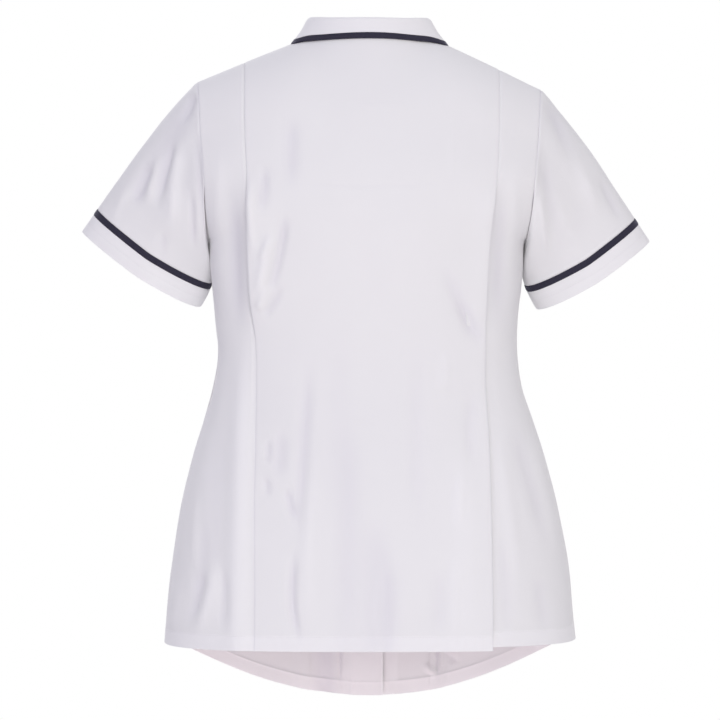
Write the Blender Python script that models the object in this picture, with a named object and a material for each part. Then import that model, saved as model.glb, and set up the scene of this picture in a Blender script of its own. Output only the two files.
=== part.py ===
# A medical tunic, women's cut, hollow and filled out as when it is worn.
# Metres. +Z is up, the front faces -Y and the wearer's left is +X.
# The origin is the centre of the neck opening, level with the collar's back seam.

import math

import bpy
import numpy as np

# ---------------------------------------------------------------- driving dimensions

wall = 0.0012                  # one layer of cloth
folded_wall = 0.0024           # two layers: hems, facings and cuffs
seam_gap = 0.0003              # left between two pieces at a seam
sleeve_seam_gap = 0.0009       # the armhole's edges meet at an angle, so they stand further off
hem_depth = 0.018

neck_half_width = 0.076        # at the shoulder seams
back_neck_y = 0.060
front_neck_y = -0.082
front_neck_z = -0.075
side_neck_z = -0.004
neck_roundness = 1.8           # how the front neckline curves down to the centre front
below_neck_x = 0.078           # where the places beside the neck run on, below level 1
shoulder_half_width = 0.206
shoulder_z = -0.057
right_shoulder_drop = 0.009    # the right shoulder hangs lower
shoulder_arch = math.radians(75)

pleat_underlay = 0.025         # cloth that runs on under the back centre panel
pleat_step = 0.0030            # how deep the underlay lies
pleat_top = 1.9                # the levels between which the pleat opens
pleat_bottom = 7.8
pleat_top_run = 0.1            # levels over which it opens, and closes again
pleat_bottom_run = 0.15
pleat_run = 0.016              # width over which the side panel dips
pleat_lip = 0.002              # and the width that lies at its full depth
dip_ahead = 0.08               # the panel dips a little above the opening
underlay_after = -0.2          # and the underlay begins a little below it
seam_set_back = 0.0012         # where the pleat is shut, the seam's edges stand this far apart

button_stand = 0.018           # each front runs this far past the centre line
facing_width = 0.036           # the turned-back facing, from the centre line
facing_step = 0.0008           # the width of the step at its edge
front_step = 0.0042            # how deep the left front's stand lies under the right's
front_run = 0.014              # the width of the slope down to it
front_step_in = 0.001          # the slope starts outside the right front's edge
front_step_out = 0.004

cuff_depth = 0.0245
trim_width = 0.0065
cuff_half_depth = 0.046        # front to back, half
cuff_y = -0.032                # the sleeves are pitched forward
cuff_pitch = math.radians(15)
sleeve_head_rise = 0.22        # how steeply the sleeve head leaves the shoulder
underarm_lean = 0.1            # how far the sleeve leans forward as it leaves the underarm
hem_flare = 0.4                # 0: straight to the hem, 1: square to the hem's oval

collar_wall = 0.0012
collar_trim_width = 0.0068
collar_step = 0.003            # the last fall point stands this far above the trim
back_clearance = 0.0018        # between the fall and the panel beneath it
front_clearance = 0.0030
back_neck_gap = 0.0007         # the stand's foot stays off the neckline's flat facets
front_neck_gap = 0.0012
stand_bow = 0.0004             # the stand bows out this much half way up
fold_foot = 0.0012             # the fold: where it starts below the top of the stand,
fold_crown = 0.0006            # how high it rises over that top,
fold_width = 0.0042            # how far out it turns down
fold_drop = 0.0010             # and how far below the top that is
fall_shares = (0.35, 0.7, 1.0)  # rows down the fall, as shares of the way to the trim
front_landing = 0.6            # by this share of the way a front fall lies on the panel

button_count = 6
button_radius = 0.009
button_height = 0.0028
button_lift = 0.0006           # the thread shank holds it off the cloth
button_sides = 14
button_columns = ("radius", "height")    # shares of the button's radius and height
button_rows = (
    (0.92, 0.0),
    (1.00, 0.5),
    (0.86, 1.0),
)
first_button_z = -0.098
button_spacing = 0.094

# Levels down the body. Level 0 is the neckline and the shoulder seams; levels 1 to 5 end at
# the armholes, and from 5 down they end at the side seams. Level 14 is the hem.
level_columns = (
    "level", "half_width", "sway", "end_z", "back_end_y", "front_end_y",
    "back_z", "back_y", "front_z", "front_y", "square", "round", "back_seam", "front_seam",
)
level_rows = (
    (1, 0.1990, 0.000, -0.1220, 0.060, -0.056, -0.1000, 0.098, -0.1280, -0.116, 2.6, 1.00, 0.149, 0.112),
    (2, 0.1940, 0.000, -0.1720, 0.075, -0.070, -0.1650, 0.115, -0.1780, -0.138, 2.6, 1.05, 0.146, 0.104),
    (3, 0.1915, 0.001, -0.2150, 0.060, -0.057, -0.2100, 0.121, -0.2200, -0.150, 2.5, 1.20, 0.141, 0.099),
    (4, 0.1895, 0.002, -0.2420, 0.031, -0.031, -0.2400, 0.121, -0.2480, -0.155, 2.4, 1.60, 0.139, 0.097),
    (5, 0.1885, 0.003, -0.2540, 0.000, 0.000, -0.2620, 0.119, -0.2680, -0.156, 2.4, 2.20, 0.138, 0.096),
    (6, 0.1855, 0.003, -0.3000, 0.000, 0.000, -0.3020, 0.112, -0.3040, -0.152, 2.4, 2.30, 0.136, 0.092),
    (7, 0.1815, 0.003, -0.3420, 0.000, 0.000, -0.3420, 0.105, -0.3440, -0.144, 2.4, 2.30, 0.135, 0.087),
    (8, 0.1795, 0.002, -0.3820, 0.000, 0.000, -0.3820, 0.101, -0.3850, -0.138, 2.4, 2.30, 0.134, 0.085),
    (9, 0.1850, 0.002, -0.4220, 0.000, 0.000, -0.4220, 0.103, -0.4280, -0.138, 2.4, 2.30, 0.134, 0.085),
    (10, 0.1970, 0.001, -0.4620, 0.000, 0.000, -0.4620, 0.109, -0.4740, -0.141, 2.4, 2.30, 0.135, 0.085),
    (11, 0.2115, 0.000, -0.5070, 0.000, 0.000, -0.5060, 0.118, -0.5300, -0.145, 2.4, 2.30, 0.136, 0.085),
    (12, 0.2255, 0.000, -0.5650, 0.000, 0.000, -0.5620, 0.128, -0.6040, -0.148, 2.4, 2.30, 0.137, 0.086),
    (13, 0.2385, -0.001, -0.6420, 0.000, 0.000, -0.6380, 0.138, -0.7020, -0.150, 2.4, 2.30, 0.137, 0.086),
    (14, 0.2465, -0.001, -0.7270, 0.000, 0.000, -0.7235, 0.145, -0.8120, -0.152, 2.4, 2.30, 0.137, 0.086),
)
back_seam_at_shoulder = 0.152
front_seam_at_shoulder = 0.120
back_seam_shift = -0.0033      # the back centre panel lies a little to the wearer's right
dip_power = 2.15               # how the front hem curves down to the centre front
last_level = 14.0
underarm = 5.0

# The cuffs, seen from behind: the outer tip and the inner end of the sleeve's hem.
sleeve_columns = ("side", "tip_x", "tip_z", "inner_x", "inner_z")
sleeve_rows = (
    ("left", 0.3420, -0.2364, 0.2035, -0.3250),
    ("right", 0.3350, -0.2472, 0.2030, -0.3280),
)

# The collar from the centre back (0) over the shoulder seam to the centre front (1).
# fold_in: how far the fold leans in over the neck seam; fold_up: its height above that seam.
# The fall's edge lies over the body at edge_level and edge_place, which runs from 0 at the
# centre line over 1 beside the neck to 2 at the princess seam.
collar_columns = ("station", "fold_in", "fold_up", "edge_place", "edge_level")
collar_rows = (
    (0.00, 0.0070, 0.0148, 0.00, 0.135),
    (0.11, 0.0069, 0.0152, 0.36, 0.155),
    (0.22, 0.0068, 0.0166, 0.74, 0.220),
    (0.32, 0.0065, 0.0192, 1.07, 0.250),
    (0.38, 0.0062, 0.0212, 1.20, 0.120),
    (0.42, 0.0060, 0.0222, 1.23, 0.000),
    (0.48, 0.0056, 0.0215, 1.24, 0.130),
    (0.65, 0.0046, 0.0160, 1.18, 0.440),
    (0.85, 0.0036, 0.0105, 0.98, 0.760),
    (1.00, 0.0030, 0.0070, 0.72, 0.960),
)
shoulder_station = 0.42
trim_station = 0.955           # the trim on the collar's ends starts here
trim_station_gap = 0.003
front_end_place = 0.03         # how near the centre front the collar's ends come

# Rows and columns of the faceted pieces.
body_levels = (
    0, 0.2, 0.42, 0.7, 1, 1.45, 1.85, 2.0, 2.35, 3.1, 4.1, 5, 5.7, 6.5, 7.3, 7.65, 7.9,
    8.7, 9.6, 10.6, 11.6, 12.6, 13.3,
)
neck_columns = 5               # across a front, from the shoulder seam's neck end to the facing
neck_crowding = 1.4            # they stand closer together beside the neck
around_sleeve = 20
sleeve_rings = 6
collar_stations = (
    0, 0.08, 0.16, 0.24, 0.31, 0.37, 0.42, 0.46, 0.52, 0.59, 0.67, 0.75, 0.83, 0.90,
    trim_station - trim_station_gap, trim_station, 1,
)


def column(rows, columns, name):
    return np.array([row[columns.index(name)] for row in rows], dtype=float)


def smooth(t):
    t = np.clip(t, 0.0, 1.0)
    return t * t * (3 - 2 * t)


def spline(at, keys, values):
    # A cubic through every key, with the slopes of the neighbouring keys.
    at = np.asarray(at, dtype=float)
    slopes = np.gradient(values, keys)
    i = np.clip(np.searchsorted(keys, at, side="right") - 1, 0, len(keys) - 2)
    h = keys[i + 1] - keys[i]
    t = (at - keys[i]) / h
    return (
        (2 * t**3 - 3 * t**2 + 1) * values[i]
        + (t**3 - 2 * t**2 + t) * h * slopes[i]
        + (3 * t**2 - 2 * t**3) * values[i + 1]
        + (t**3 - t**2) * h * slopes[i + 1]
    )


level_keys = column(level_rows, level_columns, "level")
level_values = {name: column(level_rows, level_columns, name) for name in level_columns}


def at_level(level, name):
    return float(spline(level, level_keys, level_values[name]))


def arc_lengths(points):
    steps = np.linalg.norm(np.diff(points, axis=0), axis=1)
    return np.concatenate(([0.0], np.cumsum(steps)))


# ---------------------------------------------------------------- the body's shape
# A place across the back or the front runs from 0 at the wearer's right to 5 at the left:
# 0 end, 1 princess seam, 2 and 3 beside the neck, 4 princess seam, 5 end.

def top_curve(half):
    # The shoulder seams and the neckline between them.
    turn = np.linspace(-math.pi / 2, math.pi / 2, 61)
    depth = np.cos(turn)
    neck_x = neck_half_width * np.sin(turn)
    if half == "back":
        neck = np.column_stack([neck_x, back_neck_y * depth, side_neck_z * (1 - depth)])
        shift = seam_gap / 2
    else:
        neck_z = side_neck_z + (front_neck_z - side_neck_z) * (1 - np.abs(np.sin(turn)) ** neck_roundness)
        neck = np.column_stack([neck_x, front_neck_y * depth, neck_z])
        shift = -seam_gap / 2
    t = np.linspace(0, 1, 31)[1:]
    out_x = neck_half_width + (shoulder_half_width - neck_half_width) * t
    out_z = side_neck_z + (shoulder_z - side_neck_z) * t
    left = np.column_stack([out_x, np.full_like(t, shift), out_z])
    right = left[::-1] * [-1, 1, 1]
    return np.vstack([right, neck, left])


def level_curve(half, level):
    # One curve across the body from the right end to the left end.
    half_width = at_level(level, "half_width")
    turn = np.linspace(-math.pi / 2, math.pi / 2, 161)
    x = np.sin(turn)
    reach = np.abs(x)
    square = at_level(level, "square")
    bulge = (1 - reach**square) ** (1 / at_level(level, "round"))
    end_y = at_level(level, half + "_end_y") if level < underarm else 0.0
    y = end_y + (at_level(level, half + "_y") - end_y) * bulge
    middle_z = at_level(level, half + "_z")
    z = middle_z + (at_level(level, "end_z") - middle_z) * reach**dip_power
    return np.column_stack([half_width * x, y, z])


def seam_places(half, level):
    # The X of the two princess seams, with the two places beside the neck between them.
    down = min(level, 1)
    at_shoulder = back_seam_at_shoulder if half == "back" else front_seam_at_shoulder
    seam = at_shoulder + (at_level(max(level, 1), half + "_seam") - at_shoulder) * down
    shift = back_seam_shift if half == "back" else 0.0
    beside_neck = neck_half_width + (below_neck_x - neck_half_width) * down
    return [-seam + shift, -beside_neck, beside_neck, seam + shift]


def place_curve(curve, seams, u):
    lengths = arc_lengths(curve)
    stops = np.interp(seams, curve[:, 0], lengths)
    stops = np.concatenate(([0.0], stops, [lengths[-1]]))
    along = np.interp(u, range(6), stops)
    return np.column_stack([np.interp(along, lengths, curve[:, k]) for k in range(3)])


def across(half, level, u):
    # Points of the back or the front at one level, at the places u.
    u = np.asarray(u, dtype=float)
    if level >= 1:
        points = place_curve(level_curve(half, level), seam_places(half, level), u)
    else:
        top = place_curve(top_curve(half), seam_places(half, 0), u)
        low = place_curve(level_curve(half, 1), seam_places(half, 1), u)
        over = np.clip(np.abs(u - 2.5) * 2, 0, 1)[:, None] ** 2
        turn = level * shoulder_arch
        arch = np.column_stack([
            np.full_like(u, level),
            np.full_like(u, math.sin(turn) / math.sin(shoulder_arch)),
            np.full_like(u, (1 - math.cos(turn)) / (1 - math.cos(shoulder_arch))),
        ])
        mix = level * (1 - over) + arch * over
        points = top + (low - top) * mix
    half_width = at_level(max(level, 1), "half_width")
    fade = 1 - smooth((level - 1) / (underarm - 1))
    reach = np.clip(-points[:, 0] / half_width, 0, 1)
    points[:, 2] -= right_shoulder_drop * fade * reach**2
    points[:, 0] += at_level(max(level, 1), "sway")
    return points


def span(half, level, first):
    # The length along the cloth from place first to the next whole place.
    return arc_lengths(across(half, level, np.linspace(first, first + 1, 25)))[-1]


def surface_normals(half, level, u):
    # Unit normals of the back or the front, facing out of the body.
    u = np.asarray(u, dtype=float)
    step = 0.004
    up_level = max(level - step, 0.0)
    down_level = min(level + step, last_level)
    along = across(half, level, np.minimum(u + step, 5.0)) - across(half, level, np.maximum(u - step, 0.0))
    down = across(half, down_level, u) - across(half, up_level, u)
    normals = np.cross(down, along) if half == "front" else np.cross(along, down)
    return normals / np.linalg.norm(normals, axis=1, keepdims=True)


def grid_normals(points, flip=False):
    # Unit normals of a grid of points, from its neighbouring rows and columns.
    normals = np.cross(np.gradient(points, axis=0), np.gradient(points, axis=1))
    normals /= np.linalg.norm(normals, axis=2, keepdims=True)
    return -normals if flip else normals


# ---------------------------------------------------------------- meshes and materials

def material(name, colour, roughness):
    made = bpy.data.materials.new(name)
    made.use_nodes = True
    shader = made.node_tree.nodes["Principled BSDF"]
    shader.inputs["Base Color"].default_value = (*colour, 1)
    shader.inputs["Roughness"].default_value = roughness
    return made


def add_object(name, vertices, faces, finish):
    mesh = bpy.data.meshes.new(name)
    mesh.from_pydata([tuple(v) for v in vertices], [], faces)
    mesh.validate()
    mesh.materials.append(finish)
    made = bpy.data.objects.new(name, mesh)
    bpy.context.collection.objects.link(made)
    return made


def crowned_halves(outer, inner, corners):
    # A cell's two triangles, split along the diagonal that lies further out, so that both
    # sides of the wall fold along the same line.
    columns = outer.shape[1]
    out = [outer[i, j % columns] for i, j in corners]
    thickness = sum(outer[i, j % columns] - inner[i, j % columns] for i, j in corners)
    a, b, c, d = corners
    if np.dot(out[0] + out[2] - out[1] - out[3], thickness) >= 0:
        return (a, b, c), (a, c, d)
    return (a, b, d), (b, c, d)


def cloth_solid(name, outer, inner, finish, cells=None, closed=False):
    # A wall between two grids of points. cells picks the grid's cells that are cloth;
    # closed joins the last column to the first. Outer faces wind so that they face out.
    rows, columns, _ = outer.shape
    wide = columns if closed else columns - 1
    if cells is None:
        cells = np.ones((rows - 1, wide), dtype=bool)
    used = {}
    vertices = []

    def vertex(layer, i, j):
        key = (layer, i, j % columns)
        if key not in used:
            used[key] = len(vertices)
            vertices.append((outer, inner)[layer][i, j % columns])
        return used[key]

    def is_cloth(i, j):
        if closed:
            j = j % columns
        return 0 <= i < rows - 1 and 0 <= j < wide and cells[i, j]

    faces = []
    for i in range(rows - 1):
        for j in range(wide):
            if not cells[i, j]:
                continue
            corners = ((i, j), (i + 1, j), (i + 1, j + 1), (i, j + 1))
            for three in crowned_halves(outer, inner, corners):
                faces.append([vertex(0, *c) for c in three])
                faces.append([vertex(1, *c) for c in reversed(three)])
            neighbours = ((i, j - 1), (i + 1, j), (i, j + 1), (i - 1, j))
            for k in range(4):
                if is_cloth(*neighbours[k]):
                    continue
                a, b = corners[k], corners[(k + 1) % 4]
                faces.append([vertex(0, *b), vertex(0, *a), vertex(1, *a), vertex(1, *b)])
    vertices = np.array(vertices)
    volume = 0.0
    for face in faces:
        a = vertices[face[0]]
        for k in range(1, len(face) - 1):
            volume += np.dot(a, np.cross(vertices[face[k]], vertices[face[k + 1]]))
    if volume < 0:
        faces = [face[::-1] for face in faces]
    return add_object(name, vertices, faces, finish)


# ---------------------------------------------------------------- body panels

def hem_levels(half):
    # Two rows that make the step of the turned-up hem, then the hem itself.
    rise = at_level(last_level, half + "_z") - at_level(last_level - 1, half + "_z")
    top = last_level - hem_depth / abs(rise)
    return [top - 0.01, top, last_level]


def panel_rows(half):
    return list(body_levels) + hem_levels(half)


def body_panel(name, half, columns_at, finish, depth_at=None, doubled=None):
    # columns_at(level) gives the panel's places; depth_at(level, places) how far the cloth
    # lies below the body's surface; doubled(points) marks where the cloth is folded double.
    levels = panel_rows(half)
    surface = np.array([across(half, level, columns_at(level)) for level in levels])
    normals = np.array([surface_normals(half, level, columns_at(level)) for level in levels])
    outer = surface
    if depth_at is not None:
        depth = np.array([depth_at(level, columns_at(level)) for level in levels])
        outer = surface - normals * depth[:, :, None]
    thickness = np.full(surface.shape[:2], wall)
    thickness[-2:] = folded_wall
    if doubled is not None:
        thickness[doubled(surface)] = folded_wall
    inner = outer - normals * thickness[:, :, None]
    return cloth_solid(name, outer, inner, finish)


def pleat_opening(level, margin):
    # 0 where the pleat is sewn shut, 1 where it is open. A margin lengthens the opening.
    opens = smooth((level - pleat_top + margin) / pleat_top_run)
    closes = smooth((pleat_bottom + margin - level) / pleat_bottom_run)
    return float(opens * closes)


def back_side_places(side):
    def places(level):
        first = 0 if side == "right" else 4
        length = span("back", level, first)
        under_length = span("back", level, 1 if side == "right" else 3)
        open_by = pleat_opening(level, underlay_after)
        even = np.linspace(seam_gap / 2, length - pleat_run, 5)
        seam_line = length - seam_gap / 2 - seam_set_back * (1 - open_by)
        out = np.concatenate((even, [seam_line])) / length
        past = (-seam_gap / 2 + (pleat_underlay + seam_gap / 2) * open_by) / under_length
        past = 1 + past if past > 0 else 1 - seam_gap / 2 / length
        out = np.concatenate((out, [past]))
        return out if side == "right" else 5 - out[::-1]
    return places


def back_side_depth(side):
    def depth(level, places):
        reach = places if side == "right" else 5 - places
        length = span("back", level, 0 if side == "right" else 4)
        from_seam = (1 - reach) * length
        slope = smooth(1 - (from_seam - pleat_lip) / pleat_run)
        return pleat_step * pleat_opening(level, dip_ahead) * slope
    return depth


def centre_back_places(level):
    edge = seam_gap / 2
    first = 1 + edge / span("back", level, 1)
    last = 4 - edge / span("back", level, 3)
    return np.concatenate((np.linspace(first, 2, 3), np.linspace(2, 3, 6)[1:-1], np.linspace(3, last, 3)))


def front_side_places(side):
    def places(level):
        length = span("front", level, 0)
        out = np.linspace(seam_gap / 2, length - seam_gap / 2, 6) / length
        return out if side == "right" else 5 - out[::-1]
    return places


def place_of_x(half, level, x):
    u = np.linspace(0, 5, 401)
    return float(np.interp(x, across(half, level, u)[:, 0], u))


def front_centre_places(side):
    def places(level):
        sign = -1 if side == "right" else 1
        seam = 1 + seam_gap / 2 / span("front", level, 1)
        beside_neck = 2 if side == "right" else 3
        seam = seam if side == "right" else 5 - seam
        stops = (facing_width + facing_step, facing_width, button_stand + front_step_in,
                 button_stand - front_step_out, 0.0, -button_stand)
        inner = [place_of_x("front", level, x * sign) for x in stops]
        share = (np.arange(neck_columns) / neck_columns) ** neck_crowding
        between = list(beside_neck + (inner[0] - beside_neck) * share)
        out = [seam] + between + inner
        return np.array(out) if side == "right" else np.array(out[::-1])
    return places


def left_stand_depth(level, places):
    x = across("front", level, places)[:, 0]
    return front_step * smooth((button_stand + front_run - x) / (front_run - front_step_in))


def facing(surface):
    return np.abs(surface[:, :, 0]) < facing_width + facing_step / 2


def build_body(cloth):
    body_panel("back_centre", "back", centre_back_places, cloth)
    for side in ("left", "right"):
        body_panel("back_side_" + side, "back", back_side_places(side), cloth, back_side_depth(side))
        body_panel("front_side_" + side, "front", front_side_places(side), cloth)
    body_panel("front_centre_right", "front", front_centre_places("right"), cloth, doubled=facing)
    body_panel("front_centre_left", "front", front_centre_places("left"), cloth,
               left_stand_depth, facing)


# ---------------------------------------------------------------- sleeves

def armhole(side):
    # The armhole's loop from the shoulder point down the back, under the arm and up the front.
    u = [0.0 if side == "right" else 5.0]
    levels = np.linspace(0, underarm, 61)
    back = np.array([across("back", level, u)[0] for level in levels])
    front = np.array([across("front", level, u)[0] for level in levels])
    back[0] = front[0] = (back[0] + front[0]) / 2
    loop = np.vstack([back, front[::-1][1:]])
    lengths = arc_lengths(loop)
    even = np.linspace(0, lengths[-1], around_sleeve + 1)[:-1]
    return np.column_stack([np.interp(even, lengths, loop[:, k]) for k in range(3)])


def cuff(side, row):
    # The sleeve's hem: a tilted oval, with the same start and direction as the armhole.
    sign = -1 if side == "right" else 1
    _, tip_x, tip_z, inner_x, inner_z = row
    tip = np.array([tip_x * sign, cuff_y, tip_z])
    inner = np.array([inner_x * sign, cuff_y, inner_z])
    wide = (tip - inner) / 2
    outward = np.array([wide[2] * sign, 0, -wide[0] * sign])
    outward /= np.linalg.norm(outward)
    deep = cuff_half_depth * (math.cos(cuff_pitch) * np.array([0, 1, 0]) + math.sin(cuff_pitch) * outward)
    turn = np.linspace(0, 2 * math.pi, around_sleeve + 1)[:-1, None]
    return (tip + inner) / 2 + wide * np.cos(turn) + deep * np.sin(turn), outward


def sleeve_curves(side, row):
    # For each point round the sleeve, a dense curve from the armhole to the hem.
    start = armhole(side)
    end, outward = cuff(side, row)
    chord = end - start
    length = np.linalg.norm(chord, axis=1, keepdims=True)
    turn = np.linspace(0, 2 * math.pi, around_sleeve + 1)[:-1, None]
    up = np.array([0, 0, 1.0])
    top = np.clip(np.cos(turn), 0, 1)
    low = np.clip(-np.cos(turn), 0, 1)
    leave = chord / length + sleeve_head_rise * up * top
    leave = leave * (1 - low) + np.array([0, -underarm_lean, -1.0]) * low
    arrive = chord / length * (1 - hem_flare) + outward * hem_flare
    t = np.linspace(0, 1, 41)[:, None, None]
    curves = (
        (2 * t**3 - 3 * t**2 + 1) * start
        + (t**3 - 2 * t**2 + t) * leave * length
        + (3 * t**2 - 2 * t**3) * end
        + (t**3 - t**2) * arrive * length
    )
    return curves


def sleeve_ring(curves, distance_from_hem=None, share=None, last=0.0):
    # A ring at a distance up from the hem, or at a share of the way from the armhole to last.
    ring = []
    for j in range(curves.shape[1]):
        lengths = arc_lengths(curves[:, j])
        total = lengths[-1]
        if share is None:
            along = total - distance_from_hem
        else:
            start = sleeve_seam_gap
            along = start + (total - last - start) * share
        ring.append([np.interp(along, lengths, curves[:, j, k]) for k in range(3)])
    return np.array(ring)


def build_sleeves(cloth, contrast):
    for row in sleeve_rows:
        side = row[0]
        curves = sleeve_curves(side, row)
        trim_top = cuff_depth + seam_gap + trim_width
        rings = [sleeve_ring(curves, share=k / sleeve_rings, last=trim_top + seam_gap)
                 for k in range(sleeve_rings + 1)]
        rings += [sleeve_ring(curves, trim_top), sleeve_ring(curves, cuff_depth + seam_gap)]
        rings += [sleeve_ring(curves, cuff_depth), sleeve_ring(curves, 0.0)]
        outer = np.array(rings)
        wrapped = np.concatenate((outer[:, -1:], outer, outer[:, :1]), axis=1)
        normals = grid_normals(wrapped, flip=side == "right")[:, 1:-1]
        for first in (sleeve_rings, sleeve_rings + 2):
            normals[first + 1] = normals[first]
        thickness = np.full((len(rings), 1, 1), wall)
        thickness[sleeve_rings + 1:] = folded_wall
        inner = outer - normals * thickness
        pieces = (
            ("sleeve_" + side, 0, sleeve_rings, cloth),
            ("sleeve_trim_" + side, sleeve_rings + 1, sleeve_rings + 2, contrast),
            ("cuff_" + side, sleeve_rings + 3, sleeve_rings + 4, cloth),
        )
        for name, first, last, finish in pieces:
            cloth_solid(name, outer[first:last + 1], inner[first:last + 1], finish, closed=True)


# ---------------------------------------------------------------- collar

collar_keys = column(collar_rows, collar_columns, "station")


def at_station(station, name):
    return float(np.interp(station, collar_keys, column(collar_rows, collar_columns, name)))


def surface_frame(half, level, place, sign):
    # A point of the body on one side, and the outward normal there.
    place = 0.5 * place if place <= 1 else place - 0.5
    u = [2.5 + sign * place]
    level = max(level, 0.0)
    return across(half, level, u)[0], surface_normals(half, level, u)[0]


def collar_section(station, sign):
    # The points of one section: up the stand, over the fold and down the fall to its edge.
    half = "back" if station <= shoulder_station else "front"
    if half == "back":
        neck_place = station / shoulder_station
    else:
        neck_place = 1 - (station - shoulder_station) / (1 - shoulder_station)
        neck_place = max(neck_place, front_end_place)
    neck, neck_normal = surface_frame(half, 0.0, neck_place, sign)
    beside = surface_frame(half, 0.0, neck_place + (0.02 if neck_place < 0.5 else -0.02), sign)[0]
    inward = np.array([-neck[0], -neck[1], 0.0])
    inward /= np.linalg.norm(inward)
    off_edge = np.cross(neck_normal, beside - neck)
    off_edge /= np.linalg.norm(off_edge)
    if np.dot(off_edge, inward + [0, 0, 1]) < 0:
        off_edge = -off_edge
    fold_in = at_station(station, "fold_in")
    fold_up = at_station(station, "fold_up")
    edge_place = at_station(station, "edge_place")
    edge_level = at_station(station, "edge_level")
    up = np.array([0, 0, 1.0])
    flatness = math.hypot(off_edge[0], off_edge[1])
    gap = back_neck_gap if half == "back" else front_neck_gap
    bottom = neck + off_edge * (gap + collar_wall * flatness)
    fold = neck + inward * fold_in + up * fold_up
    turn_out = fold - inward * fold_width - up * fold_drop
    section = [
        bottom,
        (bottom + fold) / 2 - inward * stand_bow,
        fold - up * fold_foot,
        fold - inward * fold_width / 2 + up * fold_crown,
        turn_out,
    ]
    clear = collar_wall + (back_clearance if half == "back" else front_clearance)
    edge, edge_normal = surface_frame(half, edge_level, edge_place, sign)
    edge = edge + edge_normal * clear
    above_trim = 1 - (collar_trim_width + collar_step) / np.linalg.norm(edge - turn_out)
    for fall_share in fall_shares:
        share = above_trim * fall_share
        straight = turn_out + (edge - turn_out) * share
        place = neck_place + (edge_place - neck_place) * share
        low, normal = surface_frame(half, edge_level * share, place, sign)
        lying = low + normal * clear
        onto = smooth(share / front_landing) if half == "front" else 0.0
        point = straight * (1 - onto) + lying * onto
        depth = np.dot(point - low, normal)
        if depth < clear:
            point = point + normal * (clear - depth)
        section.append(point)
    along = (section[-1] - edge) / np.linalg.norm(section[-1] - edge)
    section += [edge + along * (collar_trim_width + seam_gap), edge + along * collar_trim_width, edge]
    return section


def build_collar(cloth, contrast):
    # Rows run up the stand and down the fall, columns from the right end to the left.
    sections = [collar_section(s, -1) for s in reversed(collar_stations)]
    sections += [collar_section(s, 1) for s in collar_stations[1:]]
    outer = np.array(sections).transpose(1, 0, 2)
    normals = grid_normals(outer, flip=True)
    normals[-3] = normals[-2]
    normals[:, 2] = normals[:, 1]
    normals[:, -3] = normals[:, -2]
    inner = outer - normals * collar_wall
    rows, columns, _ = outer.shape
    fold_row = 4               # the fall and its trimmed ends begin below this row
    body = np.ones((rows - 1, columns - 1), dtype=bool)
    body[-2:, :] = False
    body[fold_row:, :2] = False
    body[fold_row:, -2:] = False
    body[fold_row - 1, :2] = False
    body[fold_row - 1, -2:] = False
    edging = np.zeros_like(body)
    edging[-1, :] = True
    edging[fold_row:, 0] = True
    edging[fold_row:, -1] = True
    cloth_solid("collar", outer, inner, cloth, cells=body)
    cloth_solid("collar_trim", outer, inner, contrast, cells=edging)


# ---------------------------------------------------------------- buttons

def button_mesh(point, normal):
    side = np.array([1.0, 0, 0])
    rise = np.cross(normal, side)
    rise /= np.linalg.norm(rise)
    turn = np.linspace(0, 2 * math.pi, button_sides + 1)[:-1, None]
    around = side * np.cos(turn) + rise * np.sin(turn)
    vertices = []
    for radius, height in button_rows:
        lift = button_lift + height * button_height
        vertices.extend(point + normal * lift + button_radius * radius * around)
    last_ring = (len(button_rows) - 1) * button_sides
    faces = [list(range(button_sides))[::-1], [last_ring + k for k in range(button_sides)]]
    for ring in range(0, last_ring, button_sides):
        for j in range(button_sides):
            k = (j + 1) % button_sides
            faces.append([ring + j, ring + k, ring + button_sides + k, ring + button_sides + j])
    return vertices, faces


def build_buttons(finish):
    levels = np.linspace(0, last_level - 1, 400)
    heights = np.array([across("front", level, [2.5])[0, 2] for level in levels])
    for number in range(button_count):
        z = first_button_z - number * button_spacing
        level = float(np.interp(-z, -heights, levels))
        point, normal = surface_frame("front", level, 0.0, 1)
        vertices, faces = button_mesh(point, normal)
        add_object("button_" + str(number + 1), vertices, faces, finish)


def main():
    for old in list(bpy.data.objects):
        bpy.data.objects.remove(old)
    cloth = material("white_cloth", (0.84, 0.83, 0.88), 0.85)
    contrast = material("navy_trim", (0.022, 0.019, 0.036), 0.8)
    plastic = material("button_plastic", (0.85, 0.85, 0.86), 0.35)
    build_body(cloth)
    build_sleeves(cloth, contrast)
    build_collar(cloth, contrast)
    build_buttons(plastic)


main()
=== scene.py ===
# A white medical tunic with navy trims, filled out as when it is worn, seen from the back.
# Metres, +Z up. The front faces -Y and the wearer's left is +X.
import math

import bpy
import numpy as np
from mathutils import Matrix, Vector
from mathutils.geometry import delaunay_2d_cdt


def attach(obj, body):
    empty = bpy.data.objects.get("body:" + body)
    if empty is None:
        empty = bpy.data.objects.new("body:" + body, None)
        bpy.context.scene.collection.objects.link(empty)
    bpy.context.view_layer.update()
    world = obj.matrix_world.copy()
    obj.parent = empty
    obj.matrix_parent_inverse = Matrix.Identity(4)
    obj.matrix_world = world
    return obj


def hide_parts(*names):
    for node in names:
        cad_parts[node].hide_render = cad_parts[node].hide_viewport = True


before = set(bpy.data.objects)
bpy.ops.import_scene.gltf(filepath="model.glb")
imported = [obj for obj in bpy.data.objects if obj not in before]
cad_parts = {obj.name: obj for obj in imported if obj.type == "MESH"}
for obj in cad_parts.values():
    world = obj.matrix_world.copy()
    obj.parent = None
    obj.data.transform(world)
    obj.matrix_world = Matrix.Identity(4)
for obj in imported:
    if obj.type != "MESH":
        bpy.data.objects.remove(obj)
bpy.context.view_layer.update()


# small helpers

def column(rows, columns, name):
    return np.array([row[columns.index(name)] for row in rows], dtype=float)


def smooth(t):
    t = np.clip(t, 0.0, 1.0)
    return t * t * (3 - 2 * t)


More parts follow.
